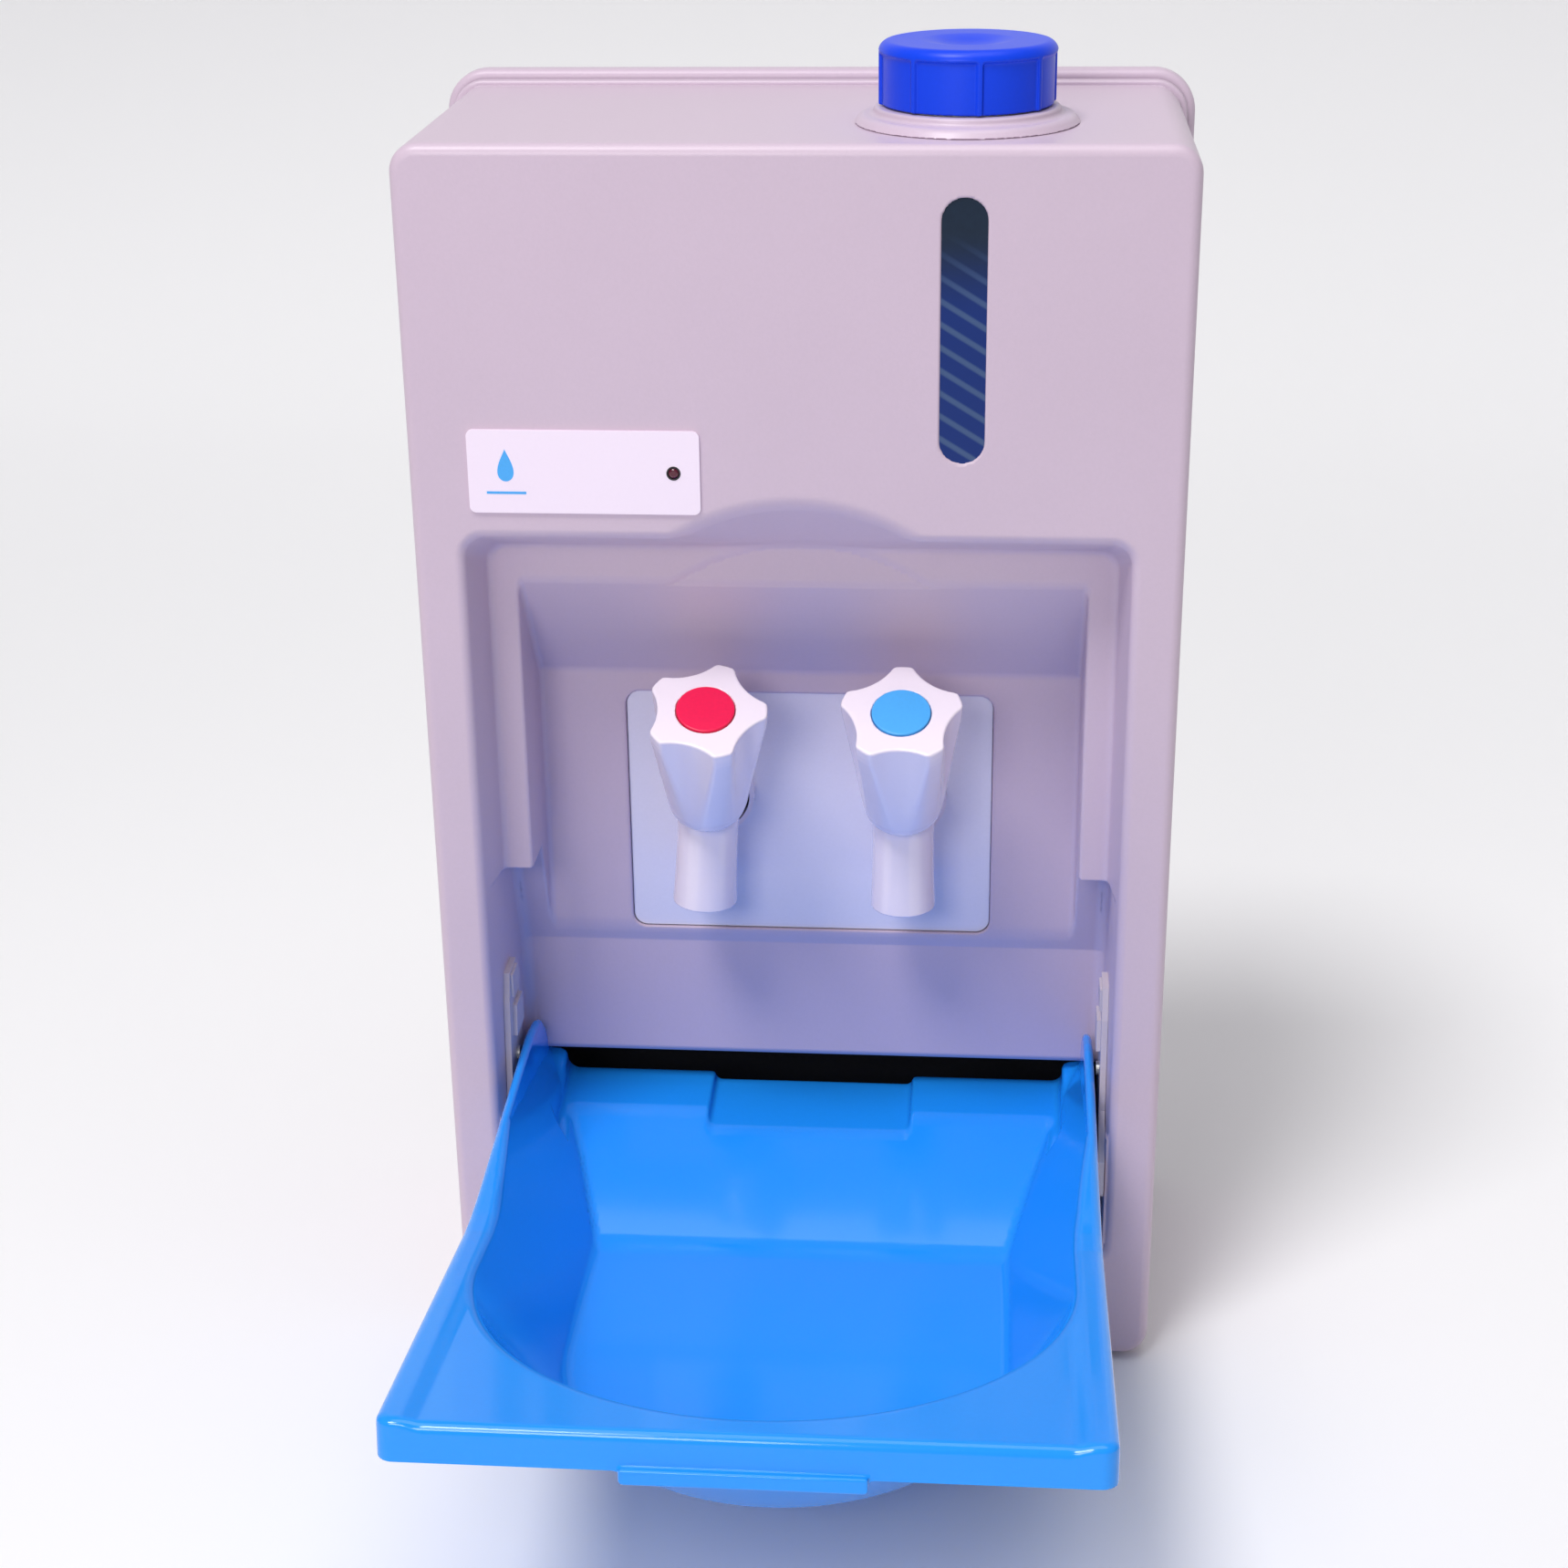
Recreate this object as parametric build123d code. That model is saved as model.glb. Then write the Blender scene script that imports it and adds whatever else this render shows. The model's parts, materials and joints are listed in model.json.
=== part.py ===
from build123d import *
import os
from math import sin, cos, radians

# Portable handwash sink: a wall-sided ABS housing with a fresh water tank, two gravity
# taps in a recess, and a tip-up basin that empties backwards into a waste tank.
#
# Construction frame: X to the right, Y from the front face (y = 0) to the back, Z up from
# the housing's floor (z = 0). At the end everything moves to the row frame, whose origin
# is the middle of the base on the plane that the feet stand on. Millimetres.

# ---- driving dimensions -------------------------------------------------------------
WALL = 3.0                      # moulded wall of housing, basin and tanks
HOUSING_W = 350.0
HOUSING_H = 608.0
HOUSING_D = 184.0
CORNER_R = 13.0                 # corner radius in the front view
FACE_R = 5.0                    # rounding round the front face
FOOT_H = 3.0
PAD_W, PAD_D = 316.0, 148.0

COVER_D = 170.0                 # depth of the front cover
RIM_PROUD = 7.0                 # how far the rear shell's rim stands out
RIM_D = 13.0
BEAD_PROUD = 3.0                # bead along the cover's rear edge
BEAD_D = 6.0

MOUTH_W, MOUTH_TOP, MOUTH_BOTTOM = 304.0, 432.0, 55.0
MOUTH_R = 10.0
LEDGE_Y = 33.0                  # depth of the ledge behind the closed basin
LEDGE_W, LEDGE_TOP = 295.0, 418.6
CAVITY_W = 267.0                # clear width between the ledge strips
HOOD_Z = 400.6                  # top edge of the sloping hood, at the ledge
PANEL_Y, PANEL_TOP, PANEL_BOTTOM = 77.0, 340.0, 188.0
LOWER_W, LOWER_TOP = 300.0, 250.0
LOWER_Y = 80.0
PANEL_BACK = LOWER_Y + WALL
SLOT_Y, SLOT_Z = 102.0, 121.0   # lower edge of the back wall, over the waste slot
SKIRT_Z = 30.0                  # lower end of the recess side walls

SCOOP_R, SCOOP_TOP = 101.0, 448.0

TILT = 8.84                     # slope of the open basin's rim, front edge higher
HINGE_Y, HINGE_Z = 8.0, 97.0
BASIN_W = 289.0
BASIN_FRONT = -320.4            # basin figures are from the hinge axis, rim level
RIM_Z = 23.7
SKIRT_H = 17.0
WING_T = 12.5
BOWL_R, BOWL_C = 131.0, -173.7
FLOOR_R, FLOOR_L = 103.0, 194.5   # radius of its front arc, length
FLOOR_REAR, FLOOR_REAR_Z = -17.8, -35.2
LIP_FRONT, LIP_FRONT_Z = 45.4, 14.1
LIP_REAR = 85.6
NOTCH_W, NOTCH_DEPTH = 104.0, 4.5
WING_START, WING_TOP_Y, WING_TOP_Z = -136.4, 23.6, 62.4

CAP_X, CAP_Y, CAP_R = 74.0, 61.0, 39.6
CAP_Z0, CAP_Z1 = 616.0, 643.5
CAP_PITCH, CAP_TURNS = 4.0, 2.0
NECK_R, NECK_WALL = 34.0, 3.5

WINDOW_X, WINDOW_Z, WINDOW_W, WINDOW_H = 74.5, 527.0, 21.0, 118.0
LABEL_X, LABEL_Z, LABEL_W, LABEL_H = -94.7, 463.0, 105.0, 38.5
LED_X, LED_Z = -54.0, 463.0

PLATE_W, PLATE_H, PLATE_Z = 182.0, 129.0, 263.5
PLATE_Y0, PLATE_Y1 = 79.5, PANEL_BACK + WALL
TAP_X, TAP_Z = 48.0, 275.0      # tap spacing from the middle, inlet height
SPOUT_Y, SPOUT_END = 51.0, 227.2
KNOB_TILT, KNOB_Y, KNOB_Z = 28.0, 45.0, 281.5
KNOB_H, KNOB_R, KNOB_VALLEY = 72.0, 29.2, 21.5
HOT_LEAN, HOT_TURN = 3.5, 13.0  # how far the hot tap and its knob are turned

TAIL_R, TAIL_END = 9.5, 97.0    # wall tail, and the depth where it ends
BONNET_R, BONNET_TOP = 11.5, 24.0
FLUTE_R, FLUTE_SLOPE = 26.0, 2.6    # radius of each knob flute, and its lean to the axis
DISC_R, DISC_Z = 13.8, 70.0
RING_R, RING_WALL, RING_Y = 20.5, 2.2, 72.0   # escutcheon cup round each wall tail
CUP_FLOOR_Y = PLATE_Y0 - 1.5

PIN_R = 3.0
LIP_CLEAR_Z = 92.0              # nothing but the front wall below this, for the swing
FIT = 0.05                      # radial clearance of a running fit
BRACKET_T, BRACKET_PAD, BRACKET_TAB = 3.0, 2.0, 1.2   # plate, raised pad, raised top tab
BRACKET_HOLES = [(36.0, 146.0), (36.0, 112.0)]

COVER_SCREWS = [(x, z) for x in (-164, 164) for z in (26, 310, 580)]
WALL_HOLE_X, WALL_HOLE_Z, WALL_HOLE_R = 120.0, (395.0, 555.0), 3.25
INLET_X, INLET_Z, INLET_R, SOCKET_R = 125.0, 215.0, 11.0, 8.5
DRAIN_Z, DRAIN_R, DRAIN_BORE_R = 20.0, 9.0, 6.4

FRESH = dict(x=156.0, y0=12.0, y1=164.0, z0=444.0, z1=604.0)
OUTLETS = [(60.0, 148.0), (-100.0, 127.0)]          # cold spigot, hot feed spigot (x, y)
HOT_Y, HOT_Z, HOT_R, HOT_X0, HOT_X1 = 127.0, 340.0, 33.0, -150.0, 20.0
JACKET_T = 5.0
SPIGOT_R, HOSE_R, LEAD_R = 4.0, 6.5, 2.2
CONTROL = (90.0, 150.0, 150.0, HOUSING_D - WALL, 285.0, 355.0)   # box: x, y and z limits

WASTE_X, WASTE_Y0, WASTE_Y1 = 149.5, 5.0, HOUSING_D - 8.0
WASTE_Z0, WASTE_FRONT, WASTE_SIDE, WASTE_TOP = 3.2, 50.0, 90.0, SLOT_Z - 4.0
WASTE_DECK_Y = SLOT_Y + 7.0

os.makedirs("parts", exist_ok=True)
parts = {}


# ---- helpers -------------------------------------------------------------------------
def block(x0, x1, y0, y1, z0, z1):
    return Pos((x0 + x1) / 2, (y0 + y1) / 2, (z0 + z1) / 2) * Box(x1 - x0, y1 - y0, z1 - z0)


def rod(start, end, radius):
    """A cylinder from one point to another."""
    run = Vector(*end) - Vector(*start)
    return extrude(Plane(origin=start, z_dir=run) * Circle(radius), amount=run.length)


def front_slab(sketch, y0, y1):
    """A front-view sketch (x, z) made solid from depth y0 to y1."""
    return extrude(Plane.XZ.offset(-y0) * sketch, amount=-(y1 - y0))


def side_face(points, grow=0.0):
    """A side-view outline of (y, z) points, grown outwards by a skin thickness."""
    face = make_face(Polyline(*points, close=True))
    return offset(face, amount=grow, kind=Kind.INTERSECTION) if grow else face


def side_slab(face, x0, x1):
    return extrude(Plane.YZ.offset(x0) * face, amount=x1 - x0)


def centred(sketch, x, z):
    return Pos(x, z) * sketch


def tube(points, radii, outer, inner):
    """A hose along straight runs joined by arcs."""
    path = FilletPolyline(*points, radius=radii) if len(points) > 2 else Line(*points)
    section = Plane(origin=path @ 0, z_dir=path % 0) * (Circle(outer) - Circle(inner))
    return sweep(section, path=path)


def rounded_outline(width, height, radius):
    """The housing's front outline, standing on z = 0."""
    return centred(RectangleRounded(width, height, radius), 0, height / 2)


# ---- housing -------------------------------------------------------------------------
def mouth(grow):
    """Tapered mouth of the recess, from the front face to the ledge."""
    def section(y, width, top):
        height = top - MOUTH_BOTTOM + 2 * grow
        outline = RectangleRounded(width + 2 * grow, height, MOUTH_R + grow)
        return Plane.XZ.offset(-y) * centred(outline, 0, (top + MOUTH_BOTTOM) / 2)
    return loft([section(0, MOUTH_W, MOUTH_TOP), section(LEDGE_Y + grow, LEDGE_W, LEDGE_TOP)])


def hood_cavity(grow):
    """Space behind the ledge: a sloping hood above the vertical tap panel."""
    outline = [(LEDGE_Y - 2, PANEL_BOTTOM), (LEDGE_Y - 2, HOOD_Z), (LEDGE_Y, HOOD_Z),
               (PANEL_Y, PANEL_TOP), (PANEL_Y, PANEL_BOTTOM)]
    half = CAVITY_W / 2 + grow
    cavity = side_slab(side_face(outline, grow), -half, half)
    clip = centred(RectangleRounded(2 * half, 2 * PANEL_TOP - 2 * PANEL_BOTTOM + 2 * grow, MOUTH_R),
                   0, PANEL_TOP)
    return cavity & front_slab(clip, -20, 120)


def lower_cavity(grow):
    """Full-width space under the ledge, whose back wall ends over the waste slot."""
    bottom = SKIRT_Z + WALL if grow else SKIRT_Z - 12
    outline = [(WALL, bottom), (WALL, LOWER_TOP), (LOWER_Y, LOWER_TOP),
               (LOWER_Y, PANEL_BOTTOM + 2), (SLOT_Y, SLOT_Z), (SLOT_Y, bottom)]
    half = LOWER_W / 2 + grow
    space = side_slab(side_face(outline, grow), -half, half)
    if grow:
        space -= block(-LOWER_W, LOWER_W, SLOT_Y - 4, LOWER_Y * 2, 0, SLOT_Z)
    return space


def scoop(grow):
    """Finger scoop: a round-topped cut that runs back and down to the ledge."""
    disc = centred(Circle(SCOOP_R + grow), 0, SCOOP_TOP - SCOOP_R)
    disc &= centred(Rectangle(2 * SCOOP_R, 2 * grow + SCOOP_TOP - LEDGE_TOP + 12), 0,
                    (SCOOP_TOP + LEDGE_TOP) / 2)
    drop = SCOOP_TOP - LEDGE_TOP
    return extrude(Plane.XZ * disc, amount=(LEDGE_Y ** 2 + drop ** 2) ** 0.5,
                   dir=(0, LEDGE_Y, -drop))


def make_panel():
    """Thick flat panel behind the taps, square to the front, with rounded lower corners."""
    height = PANEL_TOP - 2 - PANEL_BOTTOM
    panel = front_slab(centred(RectangleRounded(CAVITY_W, height, MOUTH_R), 0,
                               PANEL_BOTTOM + height / 2), PANEL_Y, PANEL_BACK)
    square_top = block(-CAVITY_W / 2, CAVITY_W / 2, PANEL_Y, PANEL_BACK, LOWER_TOP, PANEL_TOP - 2)
    return panel + square_top


def make_front_cover():
    outer = front_slab(rounded_outline(HOUSING_W, HOUSING_H, CORNER_R), 0, COVER_D)
    outer = fillet(outer.edges().group_by(Axis.Y)[0], FACE_R)
    inner_outline = Pos(0, WALL) * rounded_outline(HOUSING_W - 2 * WALL, HOUSING_H - 2 * WALL,
                                                   CORNER_R - WALL)
    cover = outer - front_slab(inner_outline, WALL, COVER_D)
    bead = Pos(0, -BEAD_PROUD) * rounded_outline(HOUSING_W + 2 * BEAD_PROUD,
                                                 HOUSING_H + 2 * BEAD_PROUD,
                                                 CORNER_R + BEAD_PROUD)
    bead = front_slab(bead - inner_outline, COVER_D - BEAD_D, COVER_D)
    cover += bead - block(-HOUSING_W, HOUSING_W, 0, HOUSING_D, -20, 0)

    skin = mouth(WALL) + hood_cavity(WALL) + lower_cavity(WALL)
    skin += scoop(WALL) & block(-HOUSING_W / 2, HOUSING_W / 2, 0, COVER_D, 0, HOUSING_H)
    skin -= block(-LOWER_W / 2, LOWER_W / 2, WALL, COVER_D, 0, LIP_CLEAR_Z)
    skin -= block(-HOUSING_W, HOUSING_W, 0, COVER_D, 0, SKIRT_Z)
    cover += skin
    cover -= mouth(0) + hood_cavity(0) + lower_cavity(0)
    cover -= scoop(0)
    cover += make_panel()

    cover -= rod((CAP_X, CAP_Y, HOUSING_H - 2 * WALL), (CAP_X, CAP_Y, HOUSING_H + 1), NECK_R + 2)
    cover -= front_slab(centred(SlotOverall(WINDOW_H, WINDOW_W, rotation=90), WINDOW_X, WINDOW_Z),
                        -1, WALL + 1)
    cover -= rod((LED_X, -1, LED_Z), (LED_X, WALL + 1, LED_Z), 3.2)
    opening = centred(RectangleRounded(PLATE_W, PLATE_H, 7), 0, PLATE_Z)
    return cover - front_slab(opening, PANEL_Y - 1, PANEL_BACK + 1)


def screw(point, axis, head_r, shank_r, length):
    """A pan-head screw: its head's seat is at the point, its shank runs along the axis."""
    run = Vector(*axis)
    seat = Vector(*point)
    head = rod(tuple(seat), tuple(seat - run * head_r * 0.6), head_r)
    return head + rod(tuple(seat), tuple(seat + run * length), shank_r)


def make_rear_shell():
    """Back cover: a plate with a rounded rim that stands out round the top and sides."""
    def outline(proud):
        return Pos(0, -proud) * rounded_outline(HOUSING_W + 2 * proud, HOUSING_H + 2 * proud,
                                                CORNER_R + proud)
    front = HOUSING_D - RIM_D
    shell = front_slab(outline(RIM_PROUD), front, HOUSING_D)
    shell = fillet(shell.edges().group_by(Axis.Y)[0] + shell.edges().group_by(Axis.Y)[-1], 3.5)
    shell -= front_slab(outline(-WALL), front, HOUSING_D - WALL)
    shell -= block(-HOUSING_W, HOUSING_W, 0, HOUSING_D + 1, -20, 0)
    for x, z in COVER_SCREWS:
        shell += rod((x, front, z), (x, HOUSING_D, z), 7)
        shell -= rod((x, front, z), (x, HOUSING_D, z), 2.4)
        shell -= rod((x, HOUSING_D - 4, z), (x, HOUSING_D, z), 5.0)
    for x in (-WALL_HOLE_X, WALL_HOLE_X):
        for z in WALL_HOLE_Z:
            shell -= rod((x, HOUSING_D - 2 * WALL, z), (x, HOUSING_D + 1, z), WALL_HOLE_R)
    shell -= rod((INLET_X, front, INLET_Z), (INLET_X, HOUSING_D + 1, INLET_Z), INLET_R + FIT)
    shell -= rod((0, front, DRAIN_Z), (0, HOUSING_D + 1, DRAIN_Z), DRAIN_R + 1)
    return shell


def make_cover_posts():
    """Moulded posts inside the front cover that the rear screws bite into."""
    posts = None
    for x, z in COVER_SCREWS:
        post = rod((x, COVER_D - 40, z), (x, COVER_D, z), 6)
        reach = HOUSING_W / 2 - WALL / 2
        wing = block(min(x, reach * x / abs(x)), max(x, reach * x / abs(x)),
                     COVER_D - 40, COVER_D, z - 1.5, z + 1.5)
        post = post + wing - rod((x, COVER_D - 30, z), (x, COVER_D, z), 2.0)
        posts = post if posts is None else posts + post
    return posts


def make_cover_gasket():
    """Seal strip between the front cover's rear edge and the rear shell."""
    outer = rounded_outline(HOUSING_W, HOUSING_H, CORNER_R)
    inner = Pos(0, WALL) * rounded_outline(HOUSING_W - 2 * WALL, HOUSING_H - 2 * WALL, CORNER_R - WALL)
    return front_slab(outer - inner, COVER_D, HOUSING_D - RIM_D)


def make_cover_screws():
    return Compound([screw((x, HOUSING_D - 4, z), (0, -1, 0), 4.2, 1.95, 34)
                     for x, z in COVER_SCREWS])


def make_base_pad():
    """Anti-slip mat stuck under the housing."""
    outline = Pos(0, HOUSING_D / 2) * RectangleRounded(PAD_W, PAD_D, 12)
    return Pos(0, 0, -FOOT_H) * extrude(outline, amount=FOOT_H)


def make_collar():
    """Low raised ring that clamps the tank's neck in the housing's top."""
    ring = Pos(CAP_X, CAP_Y, HOUSING_H) * Cone(50.5, 46.5, 4.0, align=(Align.CENTER,) * 2 + (Align.MIN,))
    ring += rod((CAP_X, CAP_Y, HOUSING_H + 4), (CAP_X, CAP_Y, CAP_Z0 - 0.5), 41.5)
    return ring - rod((CAP_X, CAP_Y, HOUSING_H - 1), (CAP_X, CAP_Y, CAP_Z0 + 1), NECK_R + 0.3)


def make_filler_cap():
    """Screw cap with eight shallow flutes and a dished top, hollow below."""
    height = CAP_Z1 - CAP_Z0
    cap = Cylinder(CAP_R, height, align=(Align.CENTER,) * 2 + (Align.MIN,))
    cap = fillet(cap.edges().group_by(Axis.Z)[-1], 5)
    for index in range(8):
        angle = 22.5 + 8.5 + 45 * index
        cutter = Pos(0, 0, -1) * Cylinder(34, height - 4, align=(Align.CENTER,) * 2 + (Align.MIN,))
        cap -= Rot(0, 0, angle) * (Pos(CAP_R + 34 - 1.6, 0, 0) * cutter)
    dish = Pos(0, 0, height + 60) * Sphere(63)
    cap -= dish
    cap -= Pos(0, 0, -1) * Cylinder(NECK_R + 1.0, height - 5, align=(Align.CENTER,) * 2 + (Align.MIN,))
    return Pos(CAP_X, CAP_Y, CAP_Z0) * cap


def make_filler_seal():
    z1 = CAP_Z0 + (CAP_Z1 - CAP_Z0) - 6
    ring = rod((CAP_X, CAP_Y, z1 - 2), (CAP_X, CAP_Y, z1), NECK_R + 0.6)
    return ring - rod((CAP_X, CAP_Y, z1 - 3), (CAP_X, CAP_Y, z1 + 1), NECK_R - 5)


# ---- tanks ---------------------------------------------------------------------------
def make_fresh_tank():
    x, y0, y1, z0, z1 = (FRESH[key] for key in ("x", "y0", "y1", "z0", "z1"))
    tank = front_slab(centred(RectangleRounded(2 * x, z1 - z0, 12), 0, (z0 + z1) / 2), y0, y1)
    tank = fillet(tank.edges().group_by(Axis.Y)[0] + tank.edges().group_by(Axis.Y)[-1], 8)
    inside = front_slab(centred(RectangleRounded(2 * (x - WALL), z1 - z0 - 2 * WALL, 9),
                                0, (z0 + z1) / 2), y0 + WALL, y1 - WALL)
    tank -= inside
    tank -= rod((CAP_X, CAP_Y, z1 - 10), (CAP_X, CAP_Y, CAP_Z1), NECK_R - NECK_WALL)
    for sx, sy in OUTLETS:
        tank += rod((sx, sy, z0 - 14), (sx, sy, z0 + 1), SPIGOT_R)
        tank -= rod((sx, sy, z0 - 15), (sx, sy, z0 + 6), SPIGOT_R - 1.2)
    return tank


def make_tank_neck():
    """Filler neck welded on the fresh water tank."""
    low, top = FRESH["z1"], CAP_Z1 - 8.3
    neck = rod((CAP_X, CAP_Y, low), (CAP_X, CAP_Y, top), NECK_R)
    return neck - rod((CAP_X, CAP_Y, low - 1), (CAP_X, CAP_Y, top + 1), NECK_R - NECK_WALL)


def make_hot_tank():
    tank = rod((HOT_X0, HOT_Y, HOT_Z), (HOT_X1, HOT_Y, HOT_Z), HOT_R)
    tank -= rod((HOT_X0 + 2, HOT_Y, HOT_Z), (HOT_X1 - 2, HOT_Y, HOT_Z), HOT_R - 2)
    feed_x, feed_y = OUTLETS[1]
    top = HOT_Z + HOT_R
    tank += rod((feed_x, feed_y, top - 4), (feed_x, feed_y, top + 20), SPIGOT_R)
    tank -= rod((feed_x, feed_y, top - 8), (feed_x, feed_y, top + 21), SPIGOT_R - 1.2)
    low = HOT_Z - HOT_R
    tank += rod((-TAP_X, HOT_Y, low + 4), (-TAP_X, HOT_Y, low - 10), SPIGOT_R)
    tank -= rod((-TAP_X, HOT_Y, low + 8), (-TAP_X, HOT_Y, low - 11), SPIGOT_R - 1.2)
    tank -= rod((HOT_X1 - 3, HOT_Y, HOT_Z), (HOT_X1 + 1, HOT_Y, HOT_Z), 10)
    return tank


def make_jacket():
    outer = HOT_R + 0.2 + JACKET_T
    jacket = rod((HOT_X0, HOT_Y, HOT_Z), (HOT_X1, HOT_Y, HOT_Z), outer)
    jacket -= rod((HOT_X0 - 1, HOT_Y, HOT_Z), (HOT_X1 + 1, HOT_Y, HOT_Z), HOT_R + 0.2)
    feed_x, feed_y = OUTLETS[1]
    jacket -= rod((feed_x, feed_y, HOT_Z), (feed_x, feed_y, HOT_Z + 60), SPIGOT_R + 1)
    jacket -= rod((-TAP_X, HOT_Y, HOT_Z), (-TAP_X, HOT_Y, HOT_Z - 60), SPIGOT_R + 1)
    return jacket


def make_heater():
    """Immersion heater: a hexagonal head outside the tank and two rods joined inside."""
    head = extrude(Plane(origin=(HOT_X1, HOT_Y, HOT_Z), z_dir=(1, 0, 0)) * RegularPolygon(13, 6),
                   amount=9)
    head += rod((HOT_X1 - 6, HOT_Y, HOT_Z), (HOT_X1, HOT_Y, HOT_Z), 9.9)
    end = HOT_X0 + 25
    for side in (-1, 1):
        head += rod((HOT_X1 - 6, HOT_Y, HOT_Z + 5 * side), (end, HOT_Y, HOT_Z + 5 * side), 2.5)
        head += rod((HOT_X1 + 9, HOT_Y, HOT_Z + 5 * side), (HOT_X1 + 18, HOT_Y, HOT_Z + 5 * side), 1.6)
    head += block(end - 2.5, end + 2.5, HOT_Y - 2.5, HOT_Y + 2.5, HOT_Z - 7.5, HOT_Z + 7.5)
    return head


def make_thermostat():
    puck = rod((HOT_X0 - 8, HOT_Y, HOT_Z), (HOT_X0, HOT_Y, HOT_Z), 9)
    for side in (-1, 1):
        puck += block(HOT_X0 - 12, HOT_X0 - 8, HOT_Y + 4 * side - 2, HOT_Y + 4 * side + 2,
                      HOT_Z - 0.5, HOT_Z + 0.5)
    return puck


def make_waste_tank():
    """Open waste tub under the basin, higher at the rear."""
    rear_top = WASTE_TOP - WALL
    outline = [(WASTE_Y0, WASTE_Z0), (WASTE_Y0, WASTE_FRONT), (WASTE_Y0 + 40, WASTE_SIDE),
               (WASTE_DECK_Y, WASTE_SIDE), (WASTE_DECK_Y, rear_top), (WASTE_Y1, rear_top),
               (WASTE_Y1, WASTE_Z0)]
    tank = side_slab(side_face(outline), -WASTE_X, WASTE_X)
    tank -= block(-WASTE_X + WALL, WASTE_X - WALL, WASTE_Y0 + WALL, WASTE_Y1 - WALL,
                  WASTE_Z0 + WALL, WASTE_TOP)
    tank += rod((0, WASTE_Y1 - 1, DRAIN_Z), (0, HOUSING_D, DRAIN_Z), DRAIN_R - 0.1)
    tank -= rod((0, WASTE_Y1 - 6, DRAIN_Z), (0, HOUSING_D + 1, DRAIN_Z), DRAIN_BORE_R)
    return tank


def make_waste_deck():
    """Lid over the waste tub's rear part, behind the slot."""
    deck = block(-WASTE_X, WASTE_X, WASTE_DECK_Y, WASTE_Y1, WASTE_TOP - WALL, WASTE_TOP)
    return fillet(deck.edges().filter_by(Axis.Z), 3)


# ---- basin ---------------------------------------------------------------------------
def bowl(grow):
    """Inside of the bowl: a D-shaped opening tapering to a smaller D-shaped floor."""
    def d_outline(radius, centre, rear):
        half = radius + grow
        rear += grow
        arc = ThreePointArc((-half, centre), (0, centre - half), (half, centre))
        sides = Polyline((half, centre), (half, rear), (-half, rear), (-half, centre))
        return make_face(arc + sides)

    slope = (LIP_FRONT - FLOOR_REAR) / (LIP_FRONT_Z - FLOOR_REAR_Z)
    rear_top = LIP_FRONT + (RIM_Z - LIP_FRONT_Z) * slope
    top = Plane.XY.offset(RIM_Z) * d_outline(BOWL_R, BOWL_C, rear_top)
    floor_plane = Plane(origin=(0, FLOOR_REAR, FLOOR_REAR_Z - grow), x_dir=(1, 0, 0),
                        z_dir=(0, -sin(radians(TILT)), cos(radians(TILT))))
    floor_centre = -(FLOOR_L - FLOOR_R) / cos(radians(TILT))
    floor = floor_plane * d_outline(FLOOR_R, floor_centre, 0)
    return loft([floor, top], ruled=True)


def side_outline(inset):
    """Side view of the basin's rim, skirt and rear wing, shrunk by an inset at the top."""
    top = RIM_Z - inset
    bottom = RIM_Z - SKIRT_H - (20 if inset else 0)
    rear = LIP_REAR - inset
    points = [(BASIN_FRONT + inset, bottom), (BASIN_FRONT + inset, top), (WING_START, top),
              (WING_TOP_Y, WING_TOP_Z - inset), (WING_TOP_Y + 24, WING_TOP_Z - inset),
              (WING_TOP_Y + 42, WING_TOP_Z - 9 - inset), (rear, RIM_Z + 4), (rear, bottom),
              (BASIN_FRONT + inset, bottom)]
    return make_face(Polyline(*points))


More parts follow.
